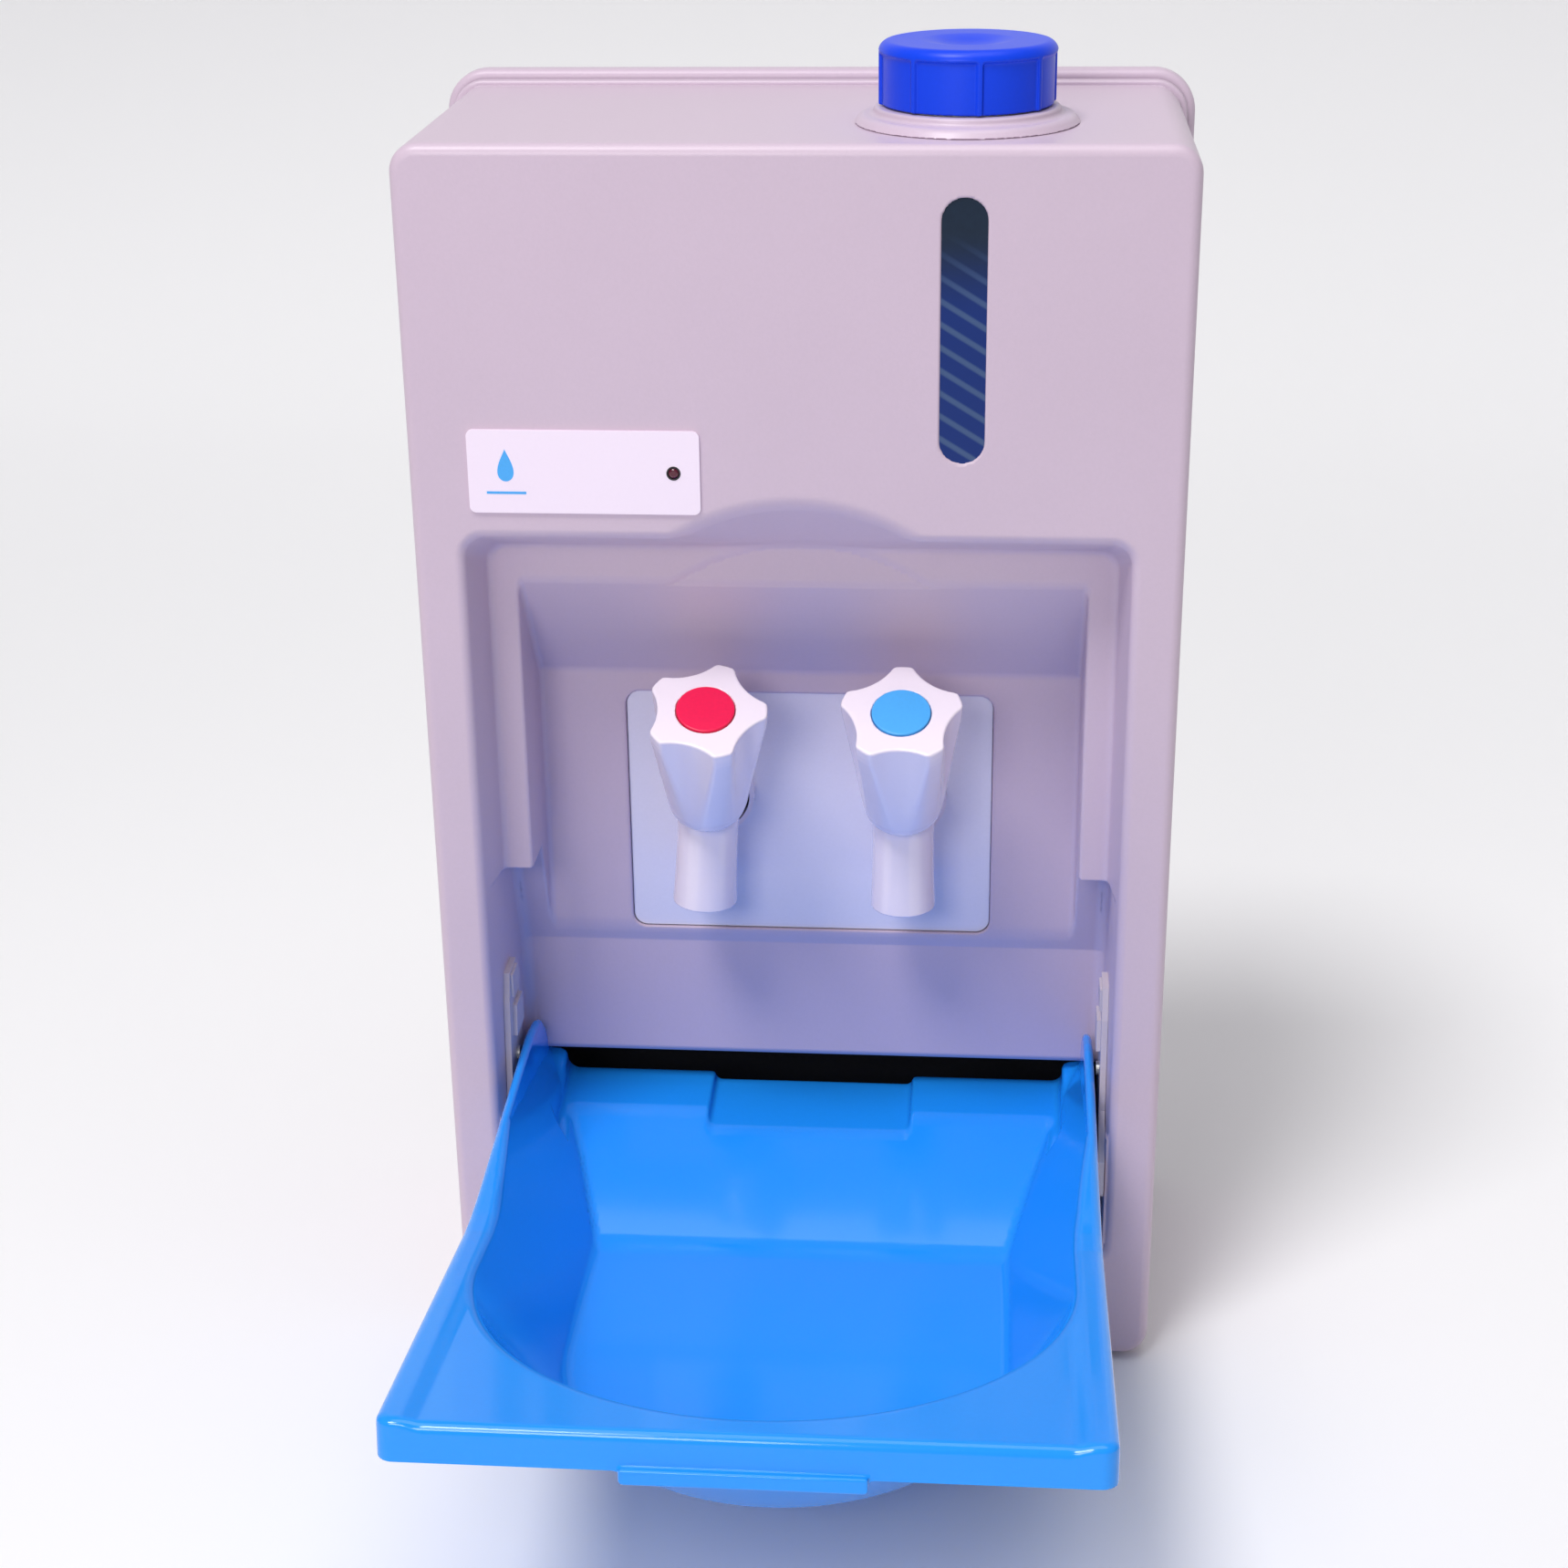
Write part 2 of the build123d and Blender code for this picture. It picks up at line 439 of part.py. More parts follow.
def make_basin():
    half = BASIN_W / 2
    basin = side_slab(side_outline(0), -half, half)
    corners = basin.edges().filter_by(Axis.Z).group_by(Axis.Y)[0]
    basin = fillet(corners, 7)
    inner = half - WING_T
    basin -= block(-inner, inner, -400, 200, RIM_Z, RIM_Z + 80)
    basin -= side_slab(side_outline(WALL), -half + WALL, half - WALL) - block(
        -inner - WALL, inner + WALL, -400, 200, RIM_Z - WALL, RIM_Z + 80)
    basin += bowl(WALL) & block(-half + 1, half - 1, BASIN_FRONT + 4, LIP_REAR, -120, RIM_Z)

    lip = [(LIP_FRONT - 4, LIP_FRONT_Z - 4), (LIP_FRONT, LIP_FRONT_Z), (LIP_REAR, RIM_Z),
           (LIP_REAR, RIM_Z - WALL), (LIP_FRONT + 2, LIP_FRONT_Z - 5)]
    basin += side_slab(side_face(lip), -inner - 1, inner + 1)
    low_lip = [(y, z - NOTCH_DEPTH) for y, z in lip] + [(LIP_FRONT - 4, LIP_FRONT_Z - 4)]
    basin += side_slab(side_face(low_lip), -NOTCH_W / 2 - WALL, NOTCH_W / 2 + WALL)
    basin -= bowl(0)
    rise = (RIM_Z - LIP_FRONT_Z) / (LIP_REAR - LIP_FRONT)
    over_lip = [(LIP_FRONT, LIP_FRONT_Z), (LIP_REAR + 1, RIM_Z + rise), (LIP_REAR + 1, 90),
                (LIP_FRONT - 9, 90), (LIP_FRONT - 9, LIP_FRONT_Z - 7)]
    basin -= side_slab(side_face(over_lip), -inner, inner)
    drop = [(LIP_FRONT - 8, LIP_FRONT_Z - NOTCH_DEPTH - 8 * rise),
            (LIP_REAR + 1, RIM_Z + rise - NOTCH_DEPTH),
            (LIP_REAR + 1, RIM_Z + 5), (LIP_FRONT - 8, RIM_Z + 5)]
    basin -= side_slab(side_face(drop), -NOTCH_W / 2, NOTCH_W / 2)

    skirt_z = RIM_Z - SKIRT_H
    basin += block(-48.5, 48.5, BASIN_FRONT - 3, BASIN_FRONT + WALL, skirt_z - 4.5, skirt_z + 2.5)
    for side in (-1, 1):
        outer = side * half
        basin += rod((outer, 0, 0), (side * (half - 9), 0, 0), 12)
        x0, x1 = sorted((outer, side * (half - WALL)))
        basin += block(x0, x1, -12, 12, 0, 10)
        basin -= rod((side * (half - 8), 0, 0), (side * (half + 1), 0, 0), PIN_R + FIT)
    return basin


def open_basin(shape):
    """Move a shape from the basin's own frame to the open pose on its hinge."""
    return Pos(0, HINGE_Y, HINGE_Z) * (Rot(-TILT, 0, 0) * shape)


# ---- hinge -----------------------------------------------------------------------------
def make_bracket(side):
    """Side plate screwed to the recess wall, with the pivot hole and a raised top tab."""
    wall = LOWER_W / 2
    outline = [(HINGE_Y - 7, HINGE_Z), (HINGE_Y - 6, 112), (18, 132), (22, 180), (26, 196),
               (44, 196), (50, 184), (52, 130), (40, 94), (HINGE_Y, HINGE_Z - 7)]
    x0, x1 = sorted((side * (wall - BRACKET_T), side * wall))
    plate = side_slab(side_face(outline), x0, x1)
    raised = [(28, 160), (30, 176), (46, 176), (48, 160)]
    x0, x1 = sorted((side * (wall - BRACKET_T - BRACKET_PAD), side * (wall - BRACKET_T)))
    plate += side_slab(side_face(raised), x0, x1)
    tab = [(28, 182), (28, 194), (42, 194), (46, 184)]
    x0, x1 = sorted((side * (wall - BRACKET_T - BRACKET_TAB), side * (wall - BRACKET_T)))
    plate += side_slab(side_face(tab), x0, x1)
    plate += rod((side * (wall - BRACKET_T), HINGE_Y, HINGE_Z), (side * wall, HINGE_Y, HINGE_Z), 7)
    plate -= rod((side * (wall - 9), HINGE_Y, HINGE_Z), (side * (wall + 1), HINGE_Y, HINGE_Z), PIN_R)
    for y, z in BRACKET_HOLES:
        plate -= rod((side * (wall - 9), y, z), (side * (wall + 1), y, z), 2.2)
    return plate


def make_bracket_screws():
    screws = []
    for side in (-1, 1):
        wall = LOWER_W / 2
        seat = wall - BRACKET_T
        for y, z in BRACKET_HOLES:
            screws.append(rod((side * seat, y, z), (side * (seat - 1.4), y, z), 3.6)
                          + rod((side * seat, y, z), (side * (wall + WALL - 0.2), y, z), 2.0))
    return Compound(screws)


def make_hinge_pins():
    pins = []
    for side in (-1, 1):
        inner, outer = BASIN_W / 2 - 7, LOWER_W / 2 + WALL - 0.5
        pins.append(rod((side * inner, HINGE_Y, HINGE_Z), (side * outer, HINGE_Y, HINGE_Z), PIN_R))
    return Compound(pins)


def through_side_walls():
    """Holes in the recess side walls for the hinge pins and bracket screws."""
    wall = LOWER_W / 2
    holes = None
    for side in (-1, 1):
        for (y, z), radius in [((HINGE_Y, HINGE_Z), PIN_R)] + [(hole, 2.0) for hole in BRACKET_HOLES]:
            hole = rod((side * (wall - 1), y, z), (side * (wall + WALL + 1), y, z), radius)
            holes = hole if holes is None else holes + hole
    return holes


# ---- front details ---------------------------------------------------------------------
def make_tap_plate():
    """Plate set into the panel's opening from behind, that the two taps are bolted to."""
    plate = front_slab(centred(RectangleRounded(PLATE_W - 0.6, PLATE_H - 0.6, 6.7), 0, PLATE_Z),
                       PLATE_Y0, PANEL_BACK)
    plate += front_slab(centred(RectangleRounded(PLATE_W + 12, PLATE_H + 12, 8), 0, PLATE_Z),
                        PANEL_BACK, PLATE_Y1)
    for x in (-TAP_X, TAP_X):
        plate -= rod((x, PLATE_Y0 - 1, TAP_Z), (x, PLATE_Y1 + 1, TAP_Z), TAIL_R + 0.3)
    return plate


def make_label_plate():
    label = front_slab(centred(RectangleRounded(LABEL_W, LABEL_H, 3), LABEL_X, LABEL_Z), -1.2, 0)
    return label - rod((LED_X, -2, LED_Z), (LED_X, 1, LED_Z), 3.2)


def make_led_lens():
    lens = rod((LED_X, -1.6, LED_Z), (LED_X, 7, LED_Z), 2.5)
    return fillet(lens.edges().group_by(Axis.Y)[0], 1.2)


def make_led_holder():
    holder = rod((LED_X, -1.4, LED_Z), (LED_X, 6, LED_Z), 3.2)
    holder += rod((LED_X, WALL, LED_Z), (LED_X, WALL + 1.5, LED_Z), 4.5)
    return holder - rod((LED_X, -3, LED_Z), (LED_X, 8, LED_Z), 2.5)


def window_outline(grow):
    return centred(SlotOverall(WINDOW_H + 2 * grow, WINDOW_W + 2 * grow, rotation=90),
                   WINDOW_X, WINDOW_Z)


def make_level_window():
    lens = front_slab(window_outline(-0.2), 1.0, WALL + 0.1)
    return lens + front_slab(window_outline(4), WALL, WALL + 2)


def make_window_seal():
    return front_slab(window_outline(4) - window_outline(-1), WALL + 2, WALL + 4)


# ---- taps --------------------------------------------------------------------------------
def knob_frame(x):
    """Place of a knob: origin at the middle of its lower rim, +Z up its turning axis."""
    tilt = radians(KNOB_TILT)
    return Plane(origin=(x, KNOB_Y, KNOB_Z), x_dir=(1, 0, 0), z_dir=(0, -sin(tilt), cos(tilt))).location


def make_knob():
    """Tall tapering knob whose five lobes fade into a round skirt."""
    profile = [(0, 0), (15.5, 0), (17.3, 2), (18, 8), (20.5, 27), (24.5, 50), (28.2, 63),
               (KNOB_R, 67), (28.2, 70.2), (26, KNOB_H), (0, KNOB_H)]
    knob = revolve(Plane.XZ * make_face(Polyline(*profile, close=True)), axis=Axis.Z)
    for index in range(5):
        cutter = Rot(0, FLUTE_SLOPE, 0) * Cylinder(FLUTE_R, 150)
        cutter = Pos(KNOB_VALLEY + FLUTE_R, 0, KNOB_H) * cutter
        knob -= Rot(0, 0, 54 + 72 * index) * cutter
    knob -= rod((0, 0, DISC_Z), (0, 0, KNOB_H + 1), DISC_R + 0.1)
    knob -= rod((0, 0, 61), (0, 0, DISC_Z + 1), 5)
    knob -= rod((0, 0, -1), (0, 0, 31), BONNET_R + 1.5)
    knob -= rod((0, 0, 30), (0, 0, 62), PIN_R + 1)
    return knob


def make_tap(x):
    """Tap body: wall tail, stub, downward spout and the bonnet under the knob."""
    frame = knob_frame(x)
    body = Pos(x, SPOUT_Y, SPOUT_END) * Cone(15, 14, 74, align=(Align.CENTER,) * 2 + (Align.MIN,))
    body += rod((x, SPOUT_Y, TAP_Z), (x, RING_Y + 3, TAP_Z), 12.5)
    body -= frame * (Pos(0, 0, 49.2) * Box(100, 100, 100))
    body += frame * rod((0, 0, -16), (0, 0, BONNET_TOP), BONNET_R)
    body += rod((x, 60, TAP_Z), (x, TAIL_END, TAP_Z), TAIL_R)
    body -= rod((x, SPOUT_Y, SPOUT_END - 1), (x, SPOUT_Y, TAP_Z), 11)
    body -= rod((x, SPOUT_Y, TAP_Z), (x, TAIL_END + 1, TAP_Z), 6)
    return body - frame * rod((0, 0, -2), (0, 0, BONNET_TOP + 1), PIN_R + 1 + FIT)


def make_spindle():
    spindle = rod((0, 0, 0), (0, 0, 60), PIN_R + 1)
    return spindle - rod((0, 0, 46), (0, 0, 61), 2)


def make_knob_screw():
    return rod((0, 0, 61), (0, 0, 64), 3.8) + rod((0, 0, 48), (0, 0, 61), 2)


def make_index_disc():
    disc = rod((0, 0, DISC_Z), (0, 0, KNOB_H + 0.8), DISC_R)
    return fillet(disc.edges().group_by(Axis.Z)[-1], 0.6)


def lean_hot(shape):
    """The hot tap stands a few degrees off plumb, turned about its wall tail."""
    about = Pos(-TAP_X, 0, TAP_Z)
    return about * (Rot(0, HOT_LEAN, 0) * (about.inverse() * shape))


def tap_parts(prefix, x, turn, settle):
    """One tap's body and the pieces that turn with its knob."""
    parts[prefix + "_tap_body"] = settle(make_tap(x))
    turned = knob_frame(x) * Rot(0, 0, turn)
    for name, piece in (("spindle", make_spindle()), ("knob", make_knob()),
                        ("knob_screw", make_knob_screw()), ("index_disc", make_index_disc())):
        parts[prefix + "_" + name] = settle(turned * piece)


def make_escutcheons():
    """Thin-walled cup round each wall tail, standing on the tap plate."""
    cups = []
    for x in (-TAP_X, TAP_X):
        cup = rod((x, RING_Y, TAP_Z), (x, PLATE_Y0, TAP_Z), RING_R)
        cup -= rod((x, RING_Y - 1, TAP_Z), (x, CUP_FLOOR_Y, TAP_Z), RING_R - RING_WALL)
        cups.append(cup - rod((x, RING_Y, TAP_Z), (x, PLATE_Y0 + 1, TAP_Z), TAIL_R + 0.1))
    return Compound(cups)


def make_tap_washers():
    """Rubber washer on the floor of each escutcheon."""
    washers = []
    for x in (-TAP_X, TAP_X):
        washer = rod((x, CUP_FLOOR_Y - 1.5, TAP_Z), (x, CUP_FLOOR_Y, TAP_Z), RING_R - RING_WALL - 0.1)
        washers.append(washer - rod((x, RING_Y, TAP_Z), (x, CUP_FLOOR_Y + 1, TAP_Z), TAIL_R + 0.1))
    return Compound(washers)


def make_backnuts():
    nuts = []
    for x in (-TAP_X, TAP_X):
        nut = front_slab(centred(RegularPolygon(14, 6), x, TAP_Z), PLATE_Y1, PLATE_Y1 + 6)
        nuts.append(nut - rod((x, PLATE_Y1 - 1, TAP_Z), (x, PLATE_Y1 + 7, TAP_Z), TAIL_R + 0.02))
    return Compound(nuts)


# ---- services inside -----------------------------------------------------------------------
def make_hose(points, radii):
    return tube(points, radii, HOSE_R, SPIGOT_R + 0.02)


def hose_routes():
    (cold_x, cold_y), (feed_x, feed_y) = OUTLETS
    fresh = FRESH["z0"]
    return {
        "cold_hose": ([(cold_x, cold_y, fresh - 1), (cold_x, cold_y, TAP_Z + 33),
                       (TAP_X, cold_y - 2, TAP_Z + 4), (TAP_X, TAIL_END + 16, TAP_Z),
                       (TAP_X, TAIL_END + 0.2, TAP_Z)], [30, 17, 12]),
        "hot_feed_hose": ([(feed_x, feed_y, fresh - 1), (feed_x, feed_y, HOT_Z + HOT_R + 7)], []),
        "hot_outlet_hose": ([(-TAP_X, HOT_Y, HOT_Z - HOT_R - 6), (-TAP_X, HOT_Y, TAP_Z),
                             (-TAP_X, TAIL_END + 0.2, TAP_Z)], [22]),
    }


def make_hose_clips():
    """A worm clip round the straight end of each hose."""
    clips = []
    for points, _ in hose_routes().values():
        for end, towards in ((points[0], points[1]), (points[-1], points[-2])):
            run = (Vector(*towards) - Vector(*end)).normalized()
            start = Vector(*end) + run * 0.8
            stop = start + run * 3.5
            ring = rod(tuple(start), tuple(stop), HOSE_R + 1.2)
            clips.append(ring - rod(tuple(start - run), tuple(stop + run), HOSE_R + 0.02))
    return Compound(clips)


def make_control_box():
    box = block(*CONTROL)
    return fillet(box.edges().filter_by(Axis.Y), 4)


def make_power_inlet():
    inlet = rod((INLET_X, HOUSING_D - 22, INLET_Z), (INLET_X, HOUSING_D, INLET_Z), INLET_R)
    inlet += rod((INLET_X, HOUSING_D, INLET_Z), (INLET_X, HOUSING_D + 2, INLET_Z), INLET_R + 4)
    return inlet - rod((INLET_X, HOUSING_D - 14, INLET_Z), (INLET_X, HOUSING_D + 3, INLET_Z), SOCKET_R)


def make_leads():
    """Supply lead from the inlet to the control box, and heater lead on to the heater."""
    inlet_y, box_y = HOUSING_D - 22, CONTROL[2] + 3.5
    supply = tube([(INLET_X, inlet_y, INLET_Z), (INLET_X, box_y, INLET_Z), (INLET_X, box_y, CONTROL[4])],
                  [7], LEAD_R, LEAD_R - 1)
    terminal_z, turn_x, side_y = HOT_Z + 5, CONTROL[0] - 14, CONTROL[2] + 10
    heater = tube([(CONTROL[0], side_y, terminal_z), (turn_x, side_y, terminal_z),
                   (turn_x, HOT_Y, terminal_z), (HOT_X1 + 18, HOT_Y, terminal_z)],
                  [9, 9], LEAD_R, LEAD_R - 1)
    return supply, heater


# ---- assembly -------------------------------------------------------------------------------
cover = make_front_cover() + make_cover_posts() - through_side_walls()
parts["front_cover"] = cover
parts["rear_shell"] = make_rear_shell()
parts["cover_gasket"] = make_cover_gasket()
parts["cover_screws"] = make_cover_screws()
parts["base_pad"] = make_base_pad()
parts["filler_collar"] = make_collar()
parts["filler_cap"] = make_filler_cap()
parts["filler_seal"] = make_filler_seal()
parts["fresh_water_tank"] = make_fresh_tank()
parts["tank_neck"] = make_tank_neck()
parts["hot_water_tank"] = make_hot_tank()
parts["tank_jacket"] = make_jacket()
parts["heater_element"] = make_heater()
parts["thermostat"] = make_thermostat()
parts["waste_tank"] = make_waste_tank()
parts["waste_deck"] = make_waste_deck()
parts["basin"] = open_basin(make_basin())
parts["hinge_bracket_left"] = make_bracket(-1)
parts["hinge_bracket_right"] = make_bracket(1)
parts["bracket_screws"] = make_bracket_screws()
parts["hinge_pins"] = make_hinge_pins()
parts["tap_plate"] = make_tap_plate()
parts["label_plate"] = make_label_plate()
parts["led_lens"] = make_led_lens()
parts["led_holder"] = make_led_holder()
parts["level_window"] = make_level_window()
parts["window_seal"] = make_window_seal()
tap_parts("cold", TAP_X, 0.0, lambda shape: shape)
tap_parts("hot", -TAP_X, -HOT_TURN, lean_hot)
parts["tap_escutcheons"] = make_escutcheons()
parts["tap_washers"] = make_tap_washers()
parts["tap_backnuts"] = make_backnuts()
for name, (points, radii) in hose_routes().items():
    parts[name] = make_hose(points, radii)
parts["hose_clips"] = make_hose_clips()
parts["control_box"] = make_control_box()
parts["power_inlet"] = make_power_inlet()
parts["supply_lead"], parts["heater_lead"] = make_leads()

to_row_frame = Pos(0, -HOUSING_D / 2, FOOT_H)
for name, shape in parts.items():
    export_step(to_row_frame * shape, f"parts/{name}.step")
    print(f"{name:22s} {shape.volume / 1000:9.2f} cm3")
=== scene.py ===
import json
import math

import bmesh
import bpy
import numpy as np
from mathutils import Matrix, Vector


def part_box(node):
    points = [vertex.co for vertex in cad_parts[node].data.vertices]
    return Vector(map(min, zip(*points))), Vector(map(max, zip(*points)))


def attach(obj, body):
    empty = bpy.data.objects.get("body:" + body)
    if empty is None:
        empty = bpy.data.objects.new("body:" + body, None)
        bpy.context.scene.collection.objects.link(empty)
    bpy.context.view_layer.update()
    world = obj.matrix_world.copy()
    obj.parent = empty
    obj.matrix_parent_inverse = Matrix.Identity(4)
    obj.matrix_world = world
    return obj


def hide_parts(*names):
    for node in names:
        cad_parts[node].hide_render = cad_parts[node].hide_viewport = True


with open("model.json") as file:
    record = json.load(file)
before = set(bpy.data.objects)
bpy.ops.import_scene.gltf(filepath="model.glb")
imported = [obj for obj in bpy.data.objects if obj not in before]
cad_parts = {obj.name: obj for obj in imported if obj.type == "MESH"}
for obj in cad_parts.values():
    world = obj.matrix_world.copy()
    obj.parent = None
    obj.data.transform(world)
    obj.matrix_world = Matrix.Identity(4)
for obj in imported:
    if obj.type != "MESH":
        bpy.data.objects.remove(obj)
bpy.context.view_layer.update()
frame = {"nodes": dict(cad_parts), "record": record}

# The drawing frame below is in millimetres: x to the right, y from the front face
# backwards, z up from the underside of the housing, as seen from the front.
HOUSING_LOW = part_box("front_cover")[0]
ORIGIN = Vector((0, HOUSING_LOW[1], HOUSING_LOW[2]))
MM = 0.001
WALL = 3.0                          # thickness of the housing and basin mouldings


# ---- distance fields ------------------------------------------------------------------
GRADIENT_STEP = 0.05                # mm, for the normals


def round_and(a, b, r):
    """Intersection of two fields with a circular edge of radius r."""
    return np.minimum(-r, np.maximum(a, b)) + np.hypot(np.maximum(r + a, 0), np.maximum(r + b, 0))


def round_or(a, b, r):
    """Union of two fields with a circular fillet of radius r."""
    return -round_and(-a, -b, r)


def rounded_box(u, v, half_u, half_v, r):
    """Rectangle about the origin, with corners of radius r."""
    du, dv = np.abs(u) - half_u + r, np.abs(v) - half_v + r
    return np.hypot(np.maximum(du, 0), np.maximum(dv, 0)) + np.minimum(np.maximum(du, dv), 0) - r


def ticks(*spans):
    """Grid lines: spans of (start, end, spacing), coarse where a shape is flat."""
    lines = [np.linspace(a, b, max(2, round((b - a) / step) + 1)) for a, b, step in spans]
    return np.unique(np.round(np.concatenate(lines), 4))


def crossings(f, lines):
    """Points where the grid's edges cross the field's zero, and the cells around each."""
    inside = f < 0
    cells = tuple(len(t) - 1 for t in lines)
    total, count = np.zeros((3,) + cells), np.zeros(cells)
    edges = []
    for axis in range(3):
        low, high = [slice(None)] * 3, [slice(None)] * 3
        low[axis], high[axis] = slice(None, -1), slice(1, None)
        crossed = inside[tuple(low)] != inside[tuple(high)]
        index = np.argwhere(crossed)
        a, b = f[tuple(low)][crossed], f[tuple(high)][crossed]
        point = np.stack([lines[k][index[:, k]] for k in range(3)])
        step = lines[axis][index[:, axis] + 1] - lines[axis][index[:, axis]]
        point[axis] += a / (a - b) * step
        others = [k for k in range(3) if k != axis]
        for da in (0, 1):
            for db in (0, 1):
                cell = index.copy()
                cell[:, others[0]] -= da
                cell[:, others[1]] -= db
                ok = np.all((cell >= 0) & (cell < np.array(cells)), axis=1)
                where = tuple(cell[ok].T)
                np.add.at(count, where, 1)
                for k in range(3):
                    np.add.at(total[k], where, point[k][ok])
        edges.append((axis, others, index, a < 0))
    return total, count, edges


def net_faces(edges, number):
    """One quad around each crossed edge, joining the points of its four cells."""
    cells = np.array(number.shape)
    faces = []
    for axis, others, index, starts_inside in edges:
        around = []
        for da, db in ((1, 1), (0, 1), (0, 0), (1, 0)):
            cell = index.copy()
            cell[:, others[0]] -= da
            cell[:, others[1]] -= db
            around.append(cell)
        ok = np.ones(len(index), bool)
        for cell in around:
            ok &= np.all((cell >= 0) & (cell < cells), axis=1)
        quad = np.stack([number[tuple(cell[ok].T)] for cell in around], axis=1)
        flip = starts_inside[ok] if axis != 1 else ~starts_inside[ok]
        quad[~flip] = quad[~flip][:, ::-1]
        faces.append(quad)
    return np.concatenate(faces)


def field_normals(field, p):
    """Directions of the field's gradient at the points p."""
    eps = GRADIENT_STEP
    normal = np.stack([
        field(p[0] + eps, p[1], p[2]) - field(p[0] - eps, p[1], p[2]),
        field(p[0], p[1] + eps, p[2]) - field(p[0], p[1] - eps, p[2]),
        field(p[0], p[1], p[2] + eps) - field(p[0], p[1], p[2] - eps)], axis=1)
    return normal / np.maximum(np.linalg.norm(normal, axis=1, keepdims=True), 1e-9)


def surface(name, field, xs, ys, zs, place):
    """Closed mesh of field = 0 over a grid, with normals from the field's gradient."""
    f = field(*np.meshgrid(xs, ys, zs, indexing="ij")).astype(np.float64)
    total, count, edges = crossings(f, (xs, ys, zs))
    used = count > 0
    number = np.full(count.shape, -1, dtype=np.int64)
    number[used] = np.arange(used.sum())
    points = (total[:, used] / count[used]).T
    faces = net_faces(edges, number)
    matrix = np.array(place)
    world = points @ matrix[:3, :3].T + matrix[:3, 3]
    turned = field_normals(field, points.T) @ matrix[:3, :3].T
    turned /= np.linalg.norm(turned, axis=1, keepdims=True)
    mesh = bpy.data.meshes.new(name)
    mesh.vertices.add(len(world))
    mesh.vertices.foreach_set("co", world.astype(np.float32).ravel())
    mesh.loops.add(faces.size)
    mesh.loops.foreach_set("vertex_index", faces.astype(np.int32).ravel())
    mesh.polygons.add(len(faces))
    mesh.polygons.foreach_set("loop_start", np.arange(0, faces.size, 4, dtype=np.int32))
    mesh.update(calc_edges=True)
    mesh.validate()
    mesh.polygons.foreach_set("use_smooth", np.ones(len(mesh.polygons), dtype=bool))
    mesh.normals_split_custom_set_from_vertices([Vector(n) for n in turned])
    obj = bpy.data.objects.new(name, mesh)
    bpy.context.scene.collection.objects.link(obj)
    return obj


def drawing_place(tilt=0.0, offset=(0, 0, 0)):
    """Matrix from the drawing frame, in mm, to the row frame, in metres."""
    return (Matrix.Translation(ORIGIN) @ Matrix.Scale(MM, 4) @ Matrix.Translation(Vector(offset))
            @ Matrix.Rotation(tilt, 4, "X"))


# ---- housing --------------------------------------------------------------------------
COVER_HALF, COVER_HALF_Z, COVER_CORNER, COVER_BACK = 175, 304, 13, 170
LEDGE_Y = 33.0                      # depth of the ledge round the recess
MOUTH_HALF, MOUTH_TOP, MOUTH_LOW, MOUTH_CORNER = 152, 432, 55, 10
MOUTH_DRAFT_X, MOUTH_DRAFT_Z = 4.5, 13.4
HOOD_Z, HOOD_NORMAL, PANEL_Y = 400.6, (0.8092, 0.5875), 77
CAVITY_HALF, CAVITY_Z, CAVITY_HALF_Z, CAVITY_Y = 133.5, 388, 200, 25
LOWER_HALF, LOWER_Y, LOWER_Z, LOWER_NORMAL = 150, 80, 190, (0.953, 0.304)
LOWER_TOP, LOWER_END, SLOT_TOP = 250, 120, 125
SCOOP_R, SCOOP_Z, SCOOP_DROP, SCOOP_LOW = 101, 347, 29.4, 400
SCOOP_STEEPNESS = 0.76              # brings the sloping scoop's field back to millimetres
CHEEK_X, CHEEK_HALF, CHEEK_Z, CHEEK_HALF_Z = 151.5, 1.5, 79, 46
CHEEK_Y, CHEEK_HALF_Y = 54, 51
WINDOW_X, WINDOW_Z, WINDOW_HALF, WINDOW_HALF_Z = 74.5, 527, 9.9, 58.4
PLATE_Z, PLATE_HALF, PLATE_HALF_Z, PLATE_CORNER = 263.5, 91, 64.5, 7
PLATE_Y, PLATE_HALF_Y = 81, 6
NECK_X, NECK_Y, NECK_R, NECK_LOW = 74, 61, 36, 600
BEAD_HALF, BEAD_HALF_Z, BEAD_CORNER, BEAD_Y, BEAD_HALF_Y = 178, 307, 16, 167, 3


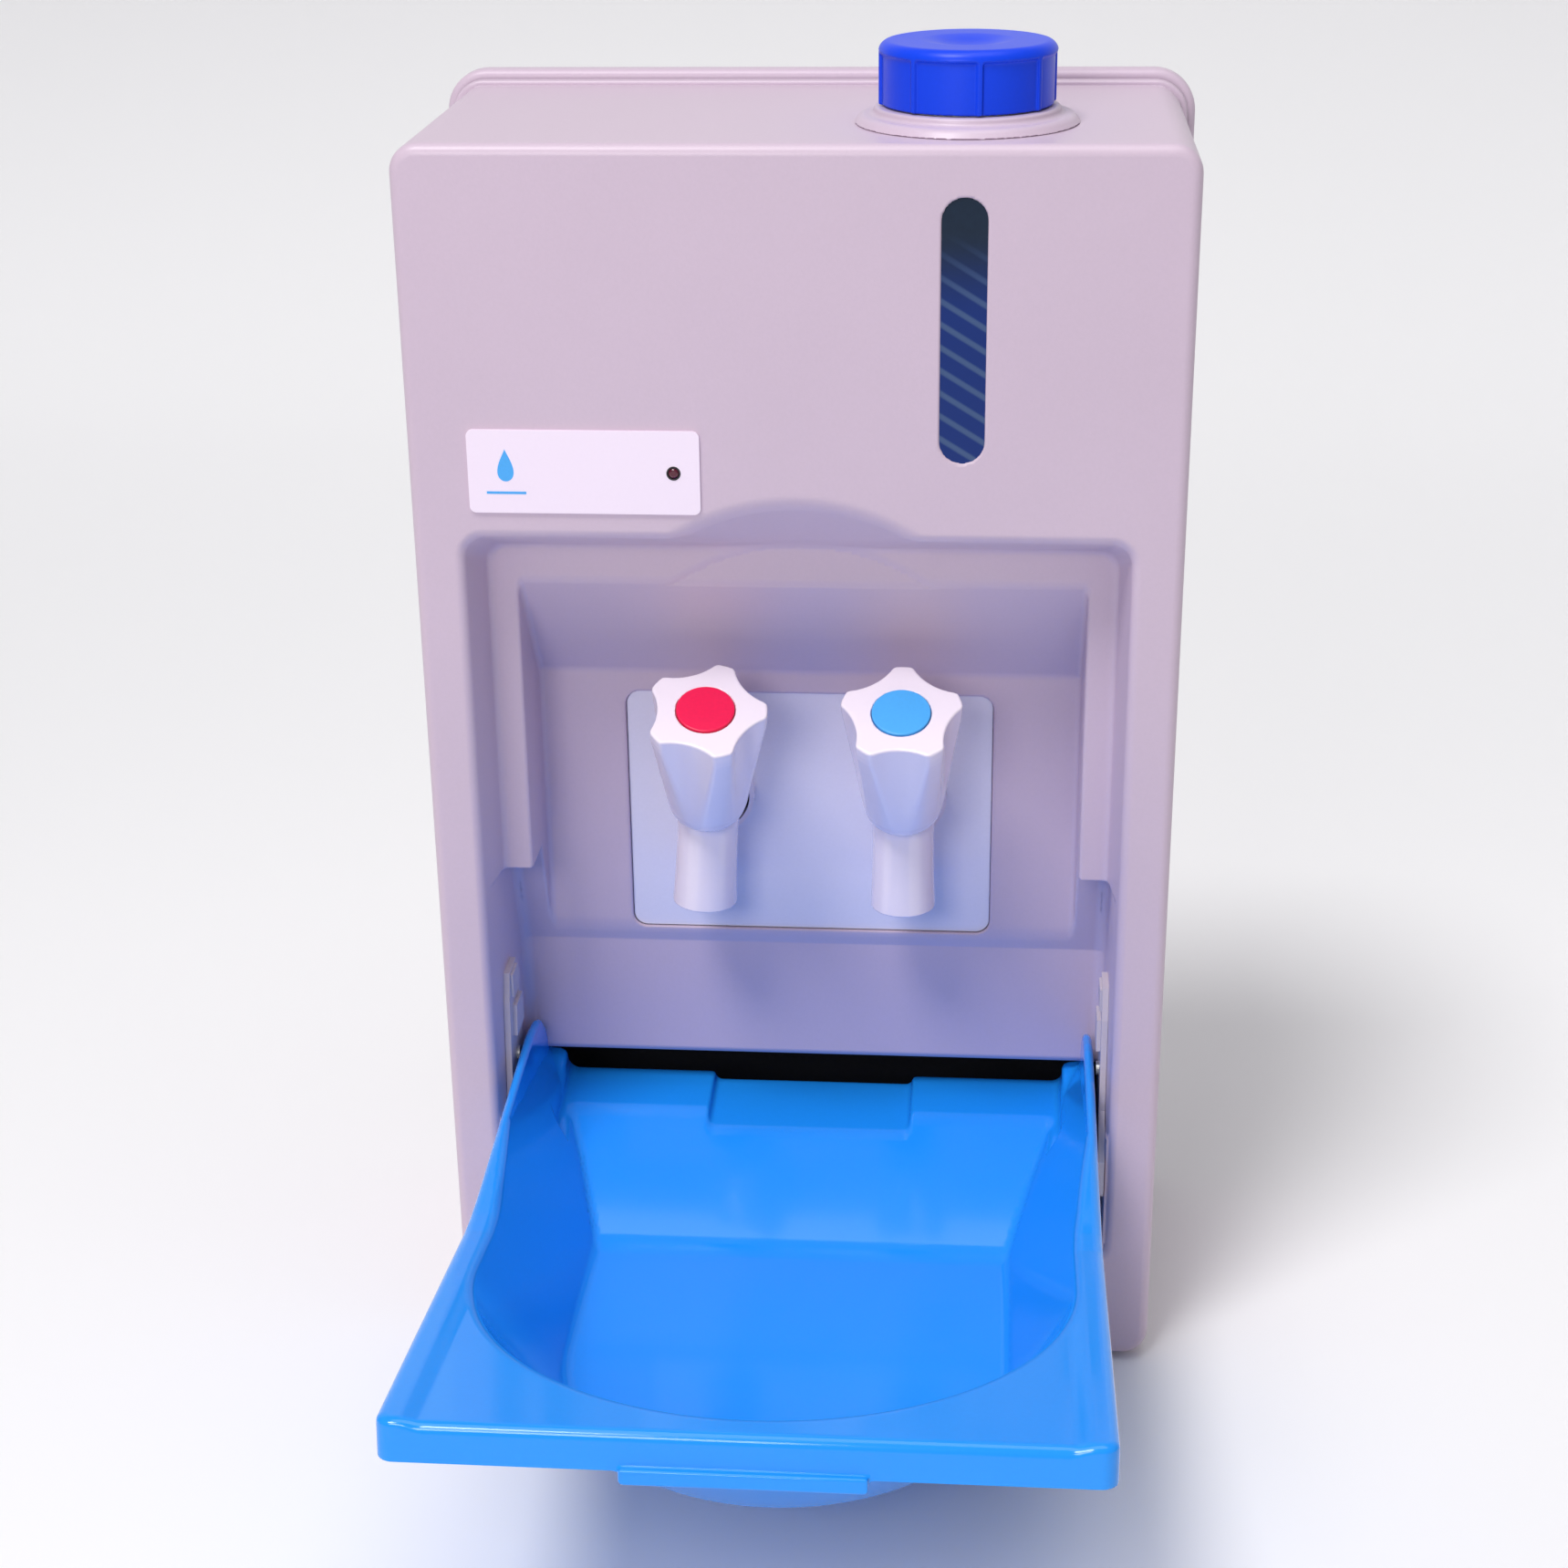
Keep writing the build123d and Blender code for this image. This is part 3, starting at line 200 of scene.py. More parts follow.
def mouth_field(x, y, z):
    """Air inside the recess."""
    t = y / LEDGE_Y
    half, top = MOUTH_HALF - MOUTH_DRAFT_X * t, MOUTH_TOP - MOUTH_DRAFT_Z * t
    mouth = rounded_box(x, z - (top + MOUTH_LOW) / 2, half, (top - MOUTH_LOW) / 2, MOUTH_CORNER)
    mouth = round_and(mouth, y - LEDGE_Y, 3.0)
    hood = (y - LEDGE_Y) * HOOD_NORMAL[0] + (z - HOOD_Z) * HOOD_NORMAL[1]
    back = round_and(hood, y - PANEL_Y, 1.2)
    cavity = rounded_box(x, z - CAVITY_Z, CAVITY_HALF, CAVITY_HALF_Z, MOUTH_CORNER)
    cavity = np.maximum(round_and(cavity, back, 3.0), CAVITY_Y - y)
    air = round_or(mouth, cavity, 2.0)
    slope = (y - LOWER_Y) * LOWER_NORMAL[0] + (z - LOWER_Z) * LOWER_NORMAL[1]
    lower = round_and(np.abs(x) - LOWER_HALF, np.maximum(y - LOWER_Y, slope), 6.0)
    lower = np.maximum(np.maximum(lower, z - LOWER_TOP), np.maximum(LOWER_END - z, WALL - y))
    air = round_or(air, lower, 1.5)
    scoop = (np.hypot(x, z - (SCOOP_Z - SCOOP_DROP * t)) - SCOOP_R) * SCOOP_STEEPNESS
    scoop = np.maximum(scoop, np.maximum(SCOOP_LOW - z, y - LEDGE_Y - 1))
    return round_or(air, scoop, 3.0)


def cover_field(x, y, z):
    """Front moulding of the housing: shell, recess, inner cheeks, openings and rear bead."""
    outline = rounded_box(x, z - COVER_HALF_Z, COVER_HALF, COVER_HALF_Z, COVER_CORNER)
    outer = round_and(outline, -y, 5.0)
    air = mouth_field(x, y, z)
    solid = round_and(outer, -air, 4.0)
    hollow = np.maximum(outline + WALL, np.maximum(WALL - y, WALL - air))
    solid = np.maximum(solid, -hollow)
    below = np.maximum(np.maximum(np.abs(x) - LOWER_HALF, z - SLOT_TOP),
                       np.maximum(WALL - z, WALL - y))
    solid = np.maximum(solid, -below)
    cheeks = np.maximum(np.abs(z - CHEEK_Z) - CHEEK_HALF_Z, np.abs(y - CHEEK_Y) - CHEEK_HALF_Y)
    cheeks = np.maximum(np.abs(np.abs(x) - CHEEK_X) - CHEEK_HALF, cheeks)
    solid = np.minimum(solid, cheeks)
    window = rounded_box(x - WINDOW_X, z - WINDOW_Z, WINDOW_HALF, WINDOW_HALF_Z,
                         WINDOW_HALF - 0.01)
    solid = round_and(solid, -np.maximum(window, y - 2 * WALL), 1.0)
    plate = np.maximum(rounded_box(x, z - PLATE_Z, PLATE_HALF, PLATE_HALF_Z, PLATE_CORNER),
                       np.abs(y - PLATE_Y) - PLATE_HALF_Y)
    solid = round_and(solid, -plate, 1.0)
    neck = np.maximum(np.hypot(x - NECK_X, y - NECK_Y) - NECK_R, NECK_LOW - z)
    solid = np.maximum(solid, -neck)
    bead = np.maximum(rounded_box(x, z - COVER_HALF_Z, BEAD_HALF, BEAD_HALF_Z, BEAD_CORNER),
                      -(outline + 2))
    bead = round_and(bead, np.abs(y - BEAD_Y) - BEAD_HALF_Y, 1.5)
    solid = np.minimum(solid, np.maximum(bead, -z))
    return np.maximum(solid, y - COVER_BACK)


def make_cover():
    fine = 1.3
    side = [(60, 90, fine), (82, 104, fine), (126, 156, fine), (158, 181, fine)]
    xs = ticks(*[(-b, -a, s) for a, b, s in side], *side, (-181, 181, 5), (-60, 60, 1.9))
    ys = ticks((-2, 8, 1), (8, 72, 1.5), (72, 88, 1), (88, 110, 1.4), (110, 160, 8),
               (160, 173, 1))
    zs = ticks((-3, 16, fine), (16, 45, 5), (30, 36, fine), (45, 66, fine), (66, 118, 5),
               (115, 126, fine), (126, 185, 5), (185, 212, fine), (212, 246, 5),
               (246, 254, fine), (254, 320, 5), (320, 347, fine), (347, 395, 2),
               (395, 456, fine), (456, 466, 5), (466, 482, fine), (482, 572, 5),
               (572, 590, fine), (590, 614, fine))
    obj = surface("housing_front", cover_field, xs, ys, zs, drawing_place())
    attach(obj, "housing")
    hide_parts("front_cover")
    dress(obj, "housing_grey")


# ---- basin ----------------------------------------------------------------------------
# The basin's own frame has its hinge axis at y = z = 0 and its rim level.
TILT, HINGE = math.radians(8.84), (0, 8, 97)
BASIN_HALF, BASIN_Y, BASIN_HALF_Y, BASIN_CORNER = 144.5, -117.4, 203, 7
RIM_Z, SKIRT_Z = 23.7, 6.7
WING_INNER, WING_SLOPE = 129.5, 0.96
WING = np.array([(-500, 23.7), (-140, 23.7), (-125, 26), (-60, 41.5), (0, 56), (15, 59.6),
                 (23.6, 61.6), (31, 62.4), (43, 62.4), (50, 61), (60, 54.6), (83.5, 27.0),
                 (95, 16.6)])       # y and height of the wings' top edge
FLOOR_Y, FLOOR_Z = -17.8, -35.2     # where the bowl's floor meets its rear wall
BOWL_R, BOWL_FLARE, BOWL_Y, BOWL_SHIFT = 103, 28, -108.2, 65.5
REAR_NORMAL = (0.615, 0.7885)
LIP_Y, LIP_Z, LIP_START, LIP_NORMAL = 45.4, 14.1, 20, (0.232, 0.9727)
NOTCH_HALF, NOTCH_DEPTH, NOTCH_Y = 52, 4.5, 34
STRIP_HALF, STRIP_Y, STRIP_Z, STRIP_HALF_T = 48.5, -319.9, 5.7, 3.5
BOSS_R, BOSS_X, BOSS_HALF = 12, 140, 4.5
PIN_R, PIN_START = 3.05, 136.5


def basin_air(x, y, z):
    """Air above the basin: over the rim, in the bowl, over the pour lip."""
    wing_top = np.interp(y, WING[:, 0], WING[:, 1])
    wing = round_and(WING_INNER - np.abs(x), (z - wing_top) * WING_SLOPE, 6.5)
    above = round_and(RIM_Z - z, -wing, 5.0)
    floor_z = FLOOR_Z + (y - FLOOR_Y) * math.tan(TILT)
    rise = np.maximum(RIM_Z - floor_z, 20)
    t = np.clip((z - floor_z) / rise, -0.3, 1.3)
    radius, centre = BOWL_R + BOWL_FLARE * t, BOWL_Y - BOWL_SHIFT * t
    ahead = np.minimum(y - centre, 0)
    reach = np.hypot(x, ahead)
    lean = (BOWL_FLARE + BOWL_SHIFT * -ahead / np.maximum(reach, 1)) / rise
    wall = (reach - radius) / np.sqrt(1 + lean * lean)
    floor = (floor_z - z) * math.cos(TILT)
    rear = (y - FLOOR_Y) * REAR_NORMAL[0] - (z - FLOOR_Z) * REAR_NORMAL[1]
    bowl = round_and(round_and(wall, rear, 3.0), floor, 3.5)
    air = round_or(above, bowl, 3.0)
    lip = -((z - LIP_Z) * LIP_NORMAL[1] - (y - LIP_Y) * LIP_NORMAL[0])
    over = round_and(np.maximum(lip, LIP_START - y), np.abs(x) - WING_INNER, 4.0)
    air = round_or(air, over, 2.5)
    notch = np.maximum(lip - NOTCH_DEPTH, NOTCH_Y - y)
    return round_or(air, round_and(notch, np.abs(x) - NOTCH_HALF, 3.0), 2.0)


def basin_field(x, y, z):
    """Basin moulding: a thin shell under the air, a skirt, a front strip and two bosses."""
    outline = rounded_box(x, y - BASIN_Y, BASIN_HALF, BASIN_HALF_Y, BASIN_CORNER)
    air = basin_air(x, y, z)
    solid = round_and(outline, -air, 4.5)
    skirt = np.maximum(-WALL - outline, SKIRT_Z - z)
    solid = np.maximum(solid, np.minimum(air - WALL, skirt))
    strip = np.maximum(np.abs(x) - STRIP_HALF, np.abs(y - STRIP_Y) - STRIP_HALF_T)
    solid = round_or(solid, round_and(strip, np.abs(z - STRIP_Z) - STRIP_HALF_T, 1.0), 1.0)
    boss = round_and(np.hypot(y, z) - BOSS_R, np.abs(np.abs(x) - BOSS_X) - BOSS_HALF, 1.0)
    solid = np.minimum(solid, boss)
    pin = np.maximum(np.hypot(y, z) - PIN_R, PIN_START - np.abs(x))
    return np.maximum(solid, -pin)


def make_basin():
    side = [(44, 58, 1.6), (122, 147, 1.2), (58, 122, 1.7)]
    xs = ticks(*[(-b, -a, s) for a, b, s in side], *side, (-44, 44, 1.7))
    ys = ticks((-326, -298, 1.2), (-298, 30, 1.7), (30, 60, 1.3), (60, 88, 1.6))
    zs = ticks((-73, -30, 1.5), (-30, 2, 2), (2, 28, 1.1), (28, 66, 1.6))
    obj = surface("basin_moulding", basin_field, xs, ys, zs, drawing_place(-TILT, HINGE))
    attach(obj, "basin")
    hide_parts("basin")
    dress(obj, "basin_blue")


# ---- taps -----------------------------------------------------------------------------
TAP_X, TAP_Z = 48.0, 275.0
SPOUT_Y, SPOUT_END = 51.0, 227.2
SPOUT_Z, SPOUT_R = [SPOUT_END, 245, 300], [15.9, 15.2, 14.4]
SPOUT_BORE, BORE_GAP = 12.4, 3
STUB_R, STUB_Y, STUB_HALF = 12.5, 60, 15
TAIL_R, TAIL_Y, TAIL_HALF, TAIL_BORE = 9.5, 78.5, 18.5, 6
BONNET_R, BONNET_MID, BONNET_HALF, SHAFT_BORE = 11.5, 4, 20, 4.05
KNOB_TILT, KNOB_Y, KNOB_Z = math.radians(28.0), 45.0, 281.5
HOT_LEAN, HOT_TURN = math.radians(3.5), math.radians(-13.0)
KNOB = np.array([(0, 16.2), (1.2, 17.6), (3, 18.6), (8, 19.8), (27, 22.6), (50, 26.4),
                 (63, 28.7), (67, 29.1), (70, 29.2), (80, 29.2)])   # height and radius
KNOB_TOP, FLUTE_R, FLUTE_CENTRE, FLUTE_FADE = 72, 27.6, 50.4, math.radians(2.6)
KNOB_LOBES, FIRST_LOBE = 5, math.radians(18)
DISC_SEAT_R, DISC_SEAT_Z = 14.1, 70
SKIRT_BORE, SKIRT_BORE_TOP, SHAFT_R, SHAFT_TOP = 13, 31, 4.0, 62
SCREW_R, SCREW_Z, SCREW_HALF = 5, 66, 5


def around(x, y, first, count):
    """Angle from the middle of the nearest of count equal sectors; edges start at first."""
    sector = math.radians(360 / count)
    return np.mod(np.arctan2(y, x) - first, sector) - sector / 2


def knob_field(x, y, z):
    """Star knob in its own frame: five flutes that fade out down a tapering skirt."""
    reach = np.hypot(x, y)
    side = (reach - np.interp(z, KNOB[:, 0], KNOB[:, 1])) * 0.98
    turn = around(x, y, FIRST_LOBE, KNOB_LOBES)
    centre = FLUTE_CENTRE - (KNOB_TOP - z) * math.tan(FLUTE_FADE)
    flute = FLUTE_R - np.hypot(reach * np.cos(turn) - centre, reach * np.sin(turn))
    body = round_and(side, flute, 1.2)
    body = round_and(body, z - KNOB_TOP, 1.1)
    body = round_and(body, -z, 1.5)
    body = round_and(body, -np.maximum(reach - DISC_SEAT_R, DISC_SEAT_Z - z), 0.3)
    inside = np.minimum(np.maximum(reach - SKIRT_BORE, z - SKIRT_BORE_TOP),
                        np.maximum(reach - SHAFT_R, z - SHAFT_TOP))
    inside = np.minimum(inside, np.maximum(reach - SCREW_R, np.abs(z - SCREW_Z) - SCREW_HALF))
    return np.maximum(body, -inside)


def tap_field(x, y, z):
    """Tap body about its own middle plane: wall stub running smoothly into the spout."""
    tilt_cos, tilt_sin = math.cos(KNOB_TILT), math.sin(KNOB_TILT)
    across = (z - KNOB_Z) * tilt_cos - (y - KNOB_Y) * tilt_sin
    along = (y - KNOB_Y) * tilt_cos + (z - KNOB_Z) * tilt_sin
    from_tail = np.hypot(x, z - TAP_Z)
    spout = np.hypot(x, y - SPOUT_Y) - np.interp(z, SPOUT_Z, SPOUT_R)
    spout = round_and(spout, across + 0.8, 3.0)
    stub = round_and(from_tail - STUB_R, np.abs(y - STUB_Y) - STUB_HALF, 1.0)
    body = round_or(spout, stub, 5.0)
    bonnet = round_and(np.hypot(x, along) - BONNET_R,
                       np.abs(across - BONNET_MID) - BONNET_HALF, 1.0)
    body = round_or(body, bonnet, 3.0)
    body = np.minimum(body, np.maximum(from_tail - TAIL_R, np.abs(y - TAIL_Y) - TAIL_HALF))
    body = round_and(body, SPOUT_END - z, 0.8)
    bore = np.maximum(np.hypot(x, y - SPOUT_Y) - SPOUT_BORE, z - TAP_Z + BORE_GAP)
    body = round_and(body, -bore, 0.5)
    tail_bore = np.maximum(from_tail - TAIL_BORE, SPOUT_Y - y)
    shaft_bore = np.maximum(np.hypot(x, along) - SHAFT_BORE, -2 - across)
    return np.maximum(body, -np.minimum(tail_bore, shaft_bore))


def make_tap(prefix, x, lean, turn):
    """A tap's body and its knob, leaning about the wall tail."""
    about = Vector((x, 0, TAP_Z))
    tipped = (Matrix.Translation(about) @ Matrix.Rotation(lean, 4, "Y")
              @ Matrix.Translation(-about))
    body = surface(prefix + "_tap", tap_field, ticks((-16.5, 16.5, 1.0)),
                   ticks((22, 68, 1.0), (68, 98, 1.2)),
                   ticks((225.5, 231, 0.8), (231, 311, 1.0)),
                   drawing_place() @ tipped @ Matrix.Translation((x, 0, 0)))
    place = (drawing_place() @ tipped @ Matrix.Translation((x, KNOB_Y, KNOB_Z))
             @ Matrix.Rotation(KNOB_TILT, 4, "X") @ Matrix.Rotation(turn, 4, "Z"))
    round_lines = ticks((-30.4, 30.4, 0.9))
    knob = surface(prefix + "_star_knob", knob_field, round_lines, round_lines,
                   ticks((-1.5, 4, 0.8), (4, 58, 1.2), (58, 74, 0.8)), place)
    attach(body, "housing")
    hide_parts(prefix + "_tap_body")
    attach(knob, prefix + "_knob_body")
    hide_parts(prefix + "_knob")
    for obj in (body, knob):
        dress(obj, "tap_white")


# ---- filler cap and collar --------------------------------------------------------------
CAP_R, CAP_HEIGHT, CAP_Z0 = 39.6, 27.5, 616.0
CAP_RIDGES, FIRST_RIDGE = 8, math.radians(-14)
FACET_R, FACET_TOP, RIDGE_HALF = 38.2, 22.5, 1.3
DISH_R, DISH_RISE = 49, 46
CAP_BORE, CAP_CROWN = 35, 6
COLLAR_Z0, COLLAR_R, COLLAR_SLOPE, COLLAR_STEP_R, COLLAR_BORE = 608.0, 50.4, 0.75, 41.5, 34.3
COLLAR_RIM_Z, COLLAR_TOP = 4.2, 7.5


def cap_field(x, y, z):
    """Screw cap: eight wide flutes between narrow ridges, a plain crown and a dished top."""
    reach = np.hypot(x, y)
    from_ridge = np.abs(reach * np.sin(around(x, y, FIRST_RIDGE, CAP_RIDGES)))
    facet = round_and(FACET_R - reach, z - FACET_TOP, 1.5)
    facet = round_and(facet, RIDGE_HALF - from_ridge, 0.8)
    body = round_and(reach - CAP_R, z - CAP_HEIGHT, 5.0)
    body = round_and(body, -facet, 0.6)
    body = round_and(body, -z, 0.6)
    dish = np.sqrt(reach ** 2 + (z - CAP_HEIGHT - DISH_RISE) ** 2) - DISH_R
    body = round_and(body, -dish, 1.5)
    return np.maximum(body, -np.maximum(reach - CAP_BORE, z - (CAP_HEIGHT - CAP_CROWN)))


def collar_field(x, y, z):
    """Low ring round the filler neck: a shallow skirt with a step close to the cap."""
    reach = np.hypot(x, y)
    skirt = round_and(reach - (COLLAR_R - COLLAR_SLOPE * z), z - COLLAR_RIM_Z, 1.8)
    step = round_and(reach - COLLAR_STEP_R, z - COLLAR_TOP, 1.6)
    ring = round_or(skirt, step, 2.0)
    return np.maximum(np.maximum(ring, COLLAR_BORE - reach), -z)


def make_filler():
    lines = ticks((-41, 41, 1.1))
    cap = surface("fluted_cap", cap_field, lines, lines,
                  ticks((-1.5, 3, 0.8), (3, 20, 1.5), (20, 29.5, 0.8)),
                  drawing_place() @ Matrix.Translation((NECK_X, NECK_Y, CAP_Z0)))
    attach(cap, "cap")
    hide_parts("filler_cap")
    dress(cap, "cap_blue")
    lines = ticks((-52, 52, 1.3))
    collar = surface("neck_collar", collar_field, lines, lines, ticks((-1, 9, 0.5)),
                     drawing_place() @ Matrix.Translation((NECK_X, NECK_Y, COLLAR_Z0)))
    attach(collar, "housing")
    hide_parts("filler_collar")
    dress(collar, "housing_grey")


# ---- label print ------------------------------------------------------------------------
DROP_X, DROP_Z, DROP_HALF, DROP_HALF_Z, DROP_STEPS = -130.0, 466.0, 5.2, 7.5, 40
RULE_LEFT, RULE_RIGHT, RULE_LOW, RULE_HIGH = -139.0, -121.0, 452.6, 453.8
PRINT_FRONT, PRINT_BACK = -1.28, -1.10


def make_label_print():
    """A plain water drop and a rule under it, printed on the blank label."""
    drop = []
    for step in range(DROP_STEPS):
        a = 2 * math.pi * step / DROP_STEPS
        width = DROP_HALF * math.sin(a) * math.sin(a / 2) ** 1.4
        drop.append((DROP_X + width, DROP_Z + DROP_HALF_Z * math.cos(a)))
    rule = [(RULE_LEFT, RULE_LOW), (RULE_RIGHT, RULE_LOW),
            (RULE_RIGHT, RULE_HIGH), (RULE_LEFT, RULE_HIGH)]
    mesh = bpy.data.meshes.new("label_print")
    tool = bmesh.new()
    for ring in (drop[::-1], rule):
        front = [tool.verts.new(ORIGIN + Vector((x, PRINT_FRONT, z)) * MM) for x, z in ring]
        back = [tool.verts.new(ORIGIN + Vector((x, PRINT_BACK, z)) * MM) for x, z in ring]
        tool.faces.new(front)
        tool.faces.new(back[::-1])
        for k in range(len(ring)):
            m = (k + 1) % len(ring)
            tool.faces.new((front[k], back[k], back[m], front[m]))
    bmesh.ops.recalc_face_normals(tool, faces=tool.faces)
    tool.to_mesh(mesh)
    tool.free()
    obj = bpy.data.objects.new("label_print", mesh)
    bpy.context.scene.collection.objects.link(obj)
    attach(obj, "housing")
    dress(obj, "cold_blue")


# ---- materials ------------------------------------------------------------------------
def dress(obj, slot_name):
    obj.data.materials.clear()
    obj.data.materials.append(MATERIALS[slot_name])


def shader_of(mat):
    return mat.node_tree.nodes["Principled BSDF"]


def add_node(mat, kind, values, links=(), operation=None):
    """A shader node with the given input values and (output, input) links."""
    node = mat.node_tree.nodes.new("ShaderNode" + kind)
    if operation:
        node.operation = operation
    for key, value in values.items():
        node.inputs[key].default_value = value
    for output, key in links:
        mat.node_tree.links.new(output, node.inputs[key])
    return node


def moulded(name, colour, rough, speckle, bump, grain, coat=0.0):
    """Moulded plastic: fine grain, slight mottling of colour and gloss."""
    mat = bpy.data.materials.new(name)
    mat.use_nodes = True
    join, shader = mat.node_tree.links.new, shader_of(mat)
    shader.inputs["Coat Weight"].default_value = coat
    shader.inputs["Coat Roughness"].default_value = 0.08
    where = add_node(mat, "TexCoord", {}).outputs["Object"]
    cloud = add_node(mat, "TexNoise", {"Scale": 14.0, "Detail": 4.0}, [(where, "Vector")])
    fine = add_node(mat, "TexNoise", {"Scale": grain, "Detail": 2.0}, [(where, "Vector")])
    ramp = add_node(mat, "ValToRGB", {})
    low, high = ramp.color_ramp.elements
    low.position, high.position = 0.3, 0.7
    low.color = [max(c * (1 - speckle), 0) for c in colour] + [1]
    high.color = [min(c * (1 + speckle), 1) for c in colour] + [1]
    half = add_node(mat, "Math", {1: 0.5}, [(fine.outputs["Fac"], 0)], "MULTIPLY")
    blend = add_node(mat, "Math", {1: 0.5}, [(cloud.outputs["Fac"], 0), (half.outputs[0], 2)],
                     "MULTIPLY_ADD")
    join(blend.outputs[0], ramp.inputs["Fac"])
    join(ramp.outputs["Color"], shader.inputs["Base Color"])
    gloss = add_node(mat, "MapRange", {"To Min": max(rough - 0.06, 0.02),
                                       "To Max": rough + 0.06},
                     [(cloud.outputs["Fac"], "Value")])
    join(gloss.outputs["Result"], shader.inputs["Roughness"])
    relief = add_node(mat, "Bump", {"Strength": bump, "Distance": 0.0004},
                      [(fine.outputs["Fac"], "Height")])
    join(relief.outputs["Normal"], shader.inputs["Normal"])
    return mat


def smooth_range(mat, source, start, end):
    node = add_node(mat, "MapRange", {"From Min": start, "From Max": end}, [(source, "Value")])
    node.interpolation_type = "SMOOTHSTEP"
    return node.outputs["Result"]


def mix_to(mat, base, colour, factor):
    """The base colour going over to another by the factor."""
    node = mat.node_tree.nodes.new("ShaderNodeMix")
    node.data_type = "RGBA"
    node.inputs["B"].default_value = colour
    mat.node_tree.links.new(factor, node.inputs["Factor"])
    mat.node_tree.links.new(base, node.inputs["A"])
    return node.outputs["Result"]


def add_stripes(mat, low_z, high_z):
    """Pale slanting bands behind the window, fading out from low_z up to high_z, in metres."""
    base = shader_of(mat).inputs["Base Color"].links[0].from_socket
    where = add_node(mat, "TexCoord", {}).outputs["Object"]
    split = add_node(mat, "SeparateXYZ", {}, [(where, 0)])
    slant = add_node(mat, "Math", {1: STRIPE_SLOPE},
                     [(split.outputs["X"], 0), (split.outputs["Z"], 2)], "MULTIPLY_ADD")
    phase = add_node(mat, "Math", {1: 2 * math.pi / STRIPE_PITCH}, [(slant.outputs[0], 0)],
                     "MULTIPLY")
    wave = add_node(mat, "Math", {}, [(phase.outputs[0], 0)], "SINE")
    band = smooth_range(mat, wave.outputs[0], 0.3, 1.0)
    rise = smooth_range(mat, split.outputs["Z"], high_z, low_z)
    pale = add_node(mat, "Math", {}, [(band, 0), (rise, 1)], "MULTIPLY")
    deep = mix_to(mat, base, WINDOW_DEEP, rise)
    striped = mix_to(mat, deep, WINDOW_STRIPE, pale.outputs[0])
    mat.node_tree.links.new(striped, shader_of(mat).inputs["Base Color"])


STRIPE_SLOPE, STRIPE_PITCH = 0.62, 0.0102
STRIPE_LOW, STRIPE_HIGH = 0.535, 0.575
WINDOW_DEEP, WINDOW_STRIPE = (0.006, 0.028, 0.17, 1), (0.055, 0.10, 0.22, 1)
SHELL_GREY = (0.635, 0.505, 0.615)
LOOKS = {       # slot: name, colour, roughness, speckle, bump, grain, coat
    "housing_grey": ("moulded_housing_grey", SHELL_GREY, 0.36, 0.02, 0.10, 700),
    "back_grey": ("moulded_back_grey", SHELL_GREY, 0.38, 0.02, 0.10, 700),
    "basin_blue": ("glossy_basin_blue", (0.014, 0.30, 0.95), 0.13, 0.02, 0.02, 500, 0.3),
    "cap_blue": ("cap_blue", (0.003, 0.055, 0.80), 0.36, 0.03, 0.05, 600),
    "tap_white": ("tap_white", (0.92, 0.82, 0.92), 0.18, 0.01, 0.01, 500, 0.3),
    "hot_red": ("hot_red", (0.90, 0.003, 0.075), 0.3, 0.05, 0.06, 600),
    "cold_blue": ("cold_blue", (0.07, 0.42, 0.92), 0.3, 0.05, 0.06, 600),
    "label_white": ("label_white", (0.95, 0.82, 0.95), 0.3, 0.01, 0.01, 600),
    "led_red": ("led_red", (0.09, 0.004, 0.02), 0.1, 0.1, 0.0, 600, 0.6),
    "black_plastic": ("black_plastic", (0.02, 0.02, 0.022), 0.4, 0.1, 0.1, 700),
    "window_dark": ("window_dark", (0.010, 0.022, 0.045), 0.22, 0.1, 0.0, 500),
    # seal_rubber also dresses the black washers in the tap cups: painted shade, dark parts that
    # make the holes behind the escutcheons look shadowed
    "seal_rubber": ("seal_rubber", (0.02, 0.02, 0.022), 0.7, 0.15, 0.3, 800),
    "tank_natural": ("tank_natural", (0.75, 0.77, 0.72), 0.45, 0.03, 0.1, 500),
    "waste_grey": ("waste_grey", (0.010, 0.012, 0.02), 0.5, 0.1, 0.2, 500),
    "stainless": ("stainless", (0.6, 0.6, 0.6), 0.3, 0.04, 0.1, 900),
    "foam": ("foam", (0.05, 0.05, 0.055), 0.9, 0.3, 0.8, 500),
    "zinc": ("zinc", (0.55, 0.55, 0.53), 0.35, 0.06, 0.1, 900),
    "hose_clear": ("hose_clear", (0.7, 0.72, 0.7), 0.3, 0.02, 0.02, 500),
    "plate_grey": ("tap_plate_grey", (0.84, 0.80, 0.92), 0.32, 0.02, 0.06, 700),
    "bracket_grey": ("bracket_grey", (0.60, 0.53, 0.59), 0.35, 0.03, 0.08, 700),
}
MATERIALS = {slot: moulded(*look) for slot, look in LOOKS.items()}
add_stripes(MATERIALS["window_dark"], STRIPE_LOW, STRIPE_HIGH)
for slot_name in ("cap_blue", "basin_blue", "window_dark"):
    shader_of(MATERIALS[slot_name]).inputs["Specular IOR Level"].default_value = 0.28
for slot_name in ("stainless", "zinc"):
    shader_of(MATERIALS[slot_name]).inputs["Metallic"].default_value = 1.0

for entry in frame["record"]["subparts"]:
    node = frame["nodes"][entry["node"]]
    for index in range(len(node.material_slots)):
        node.material_slots[index].material = MATERIALS[entry["material_slot"]]

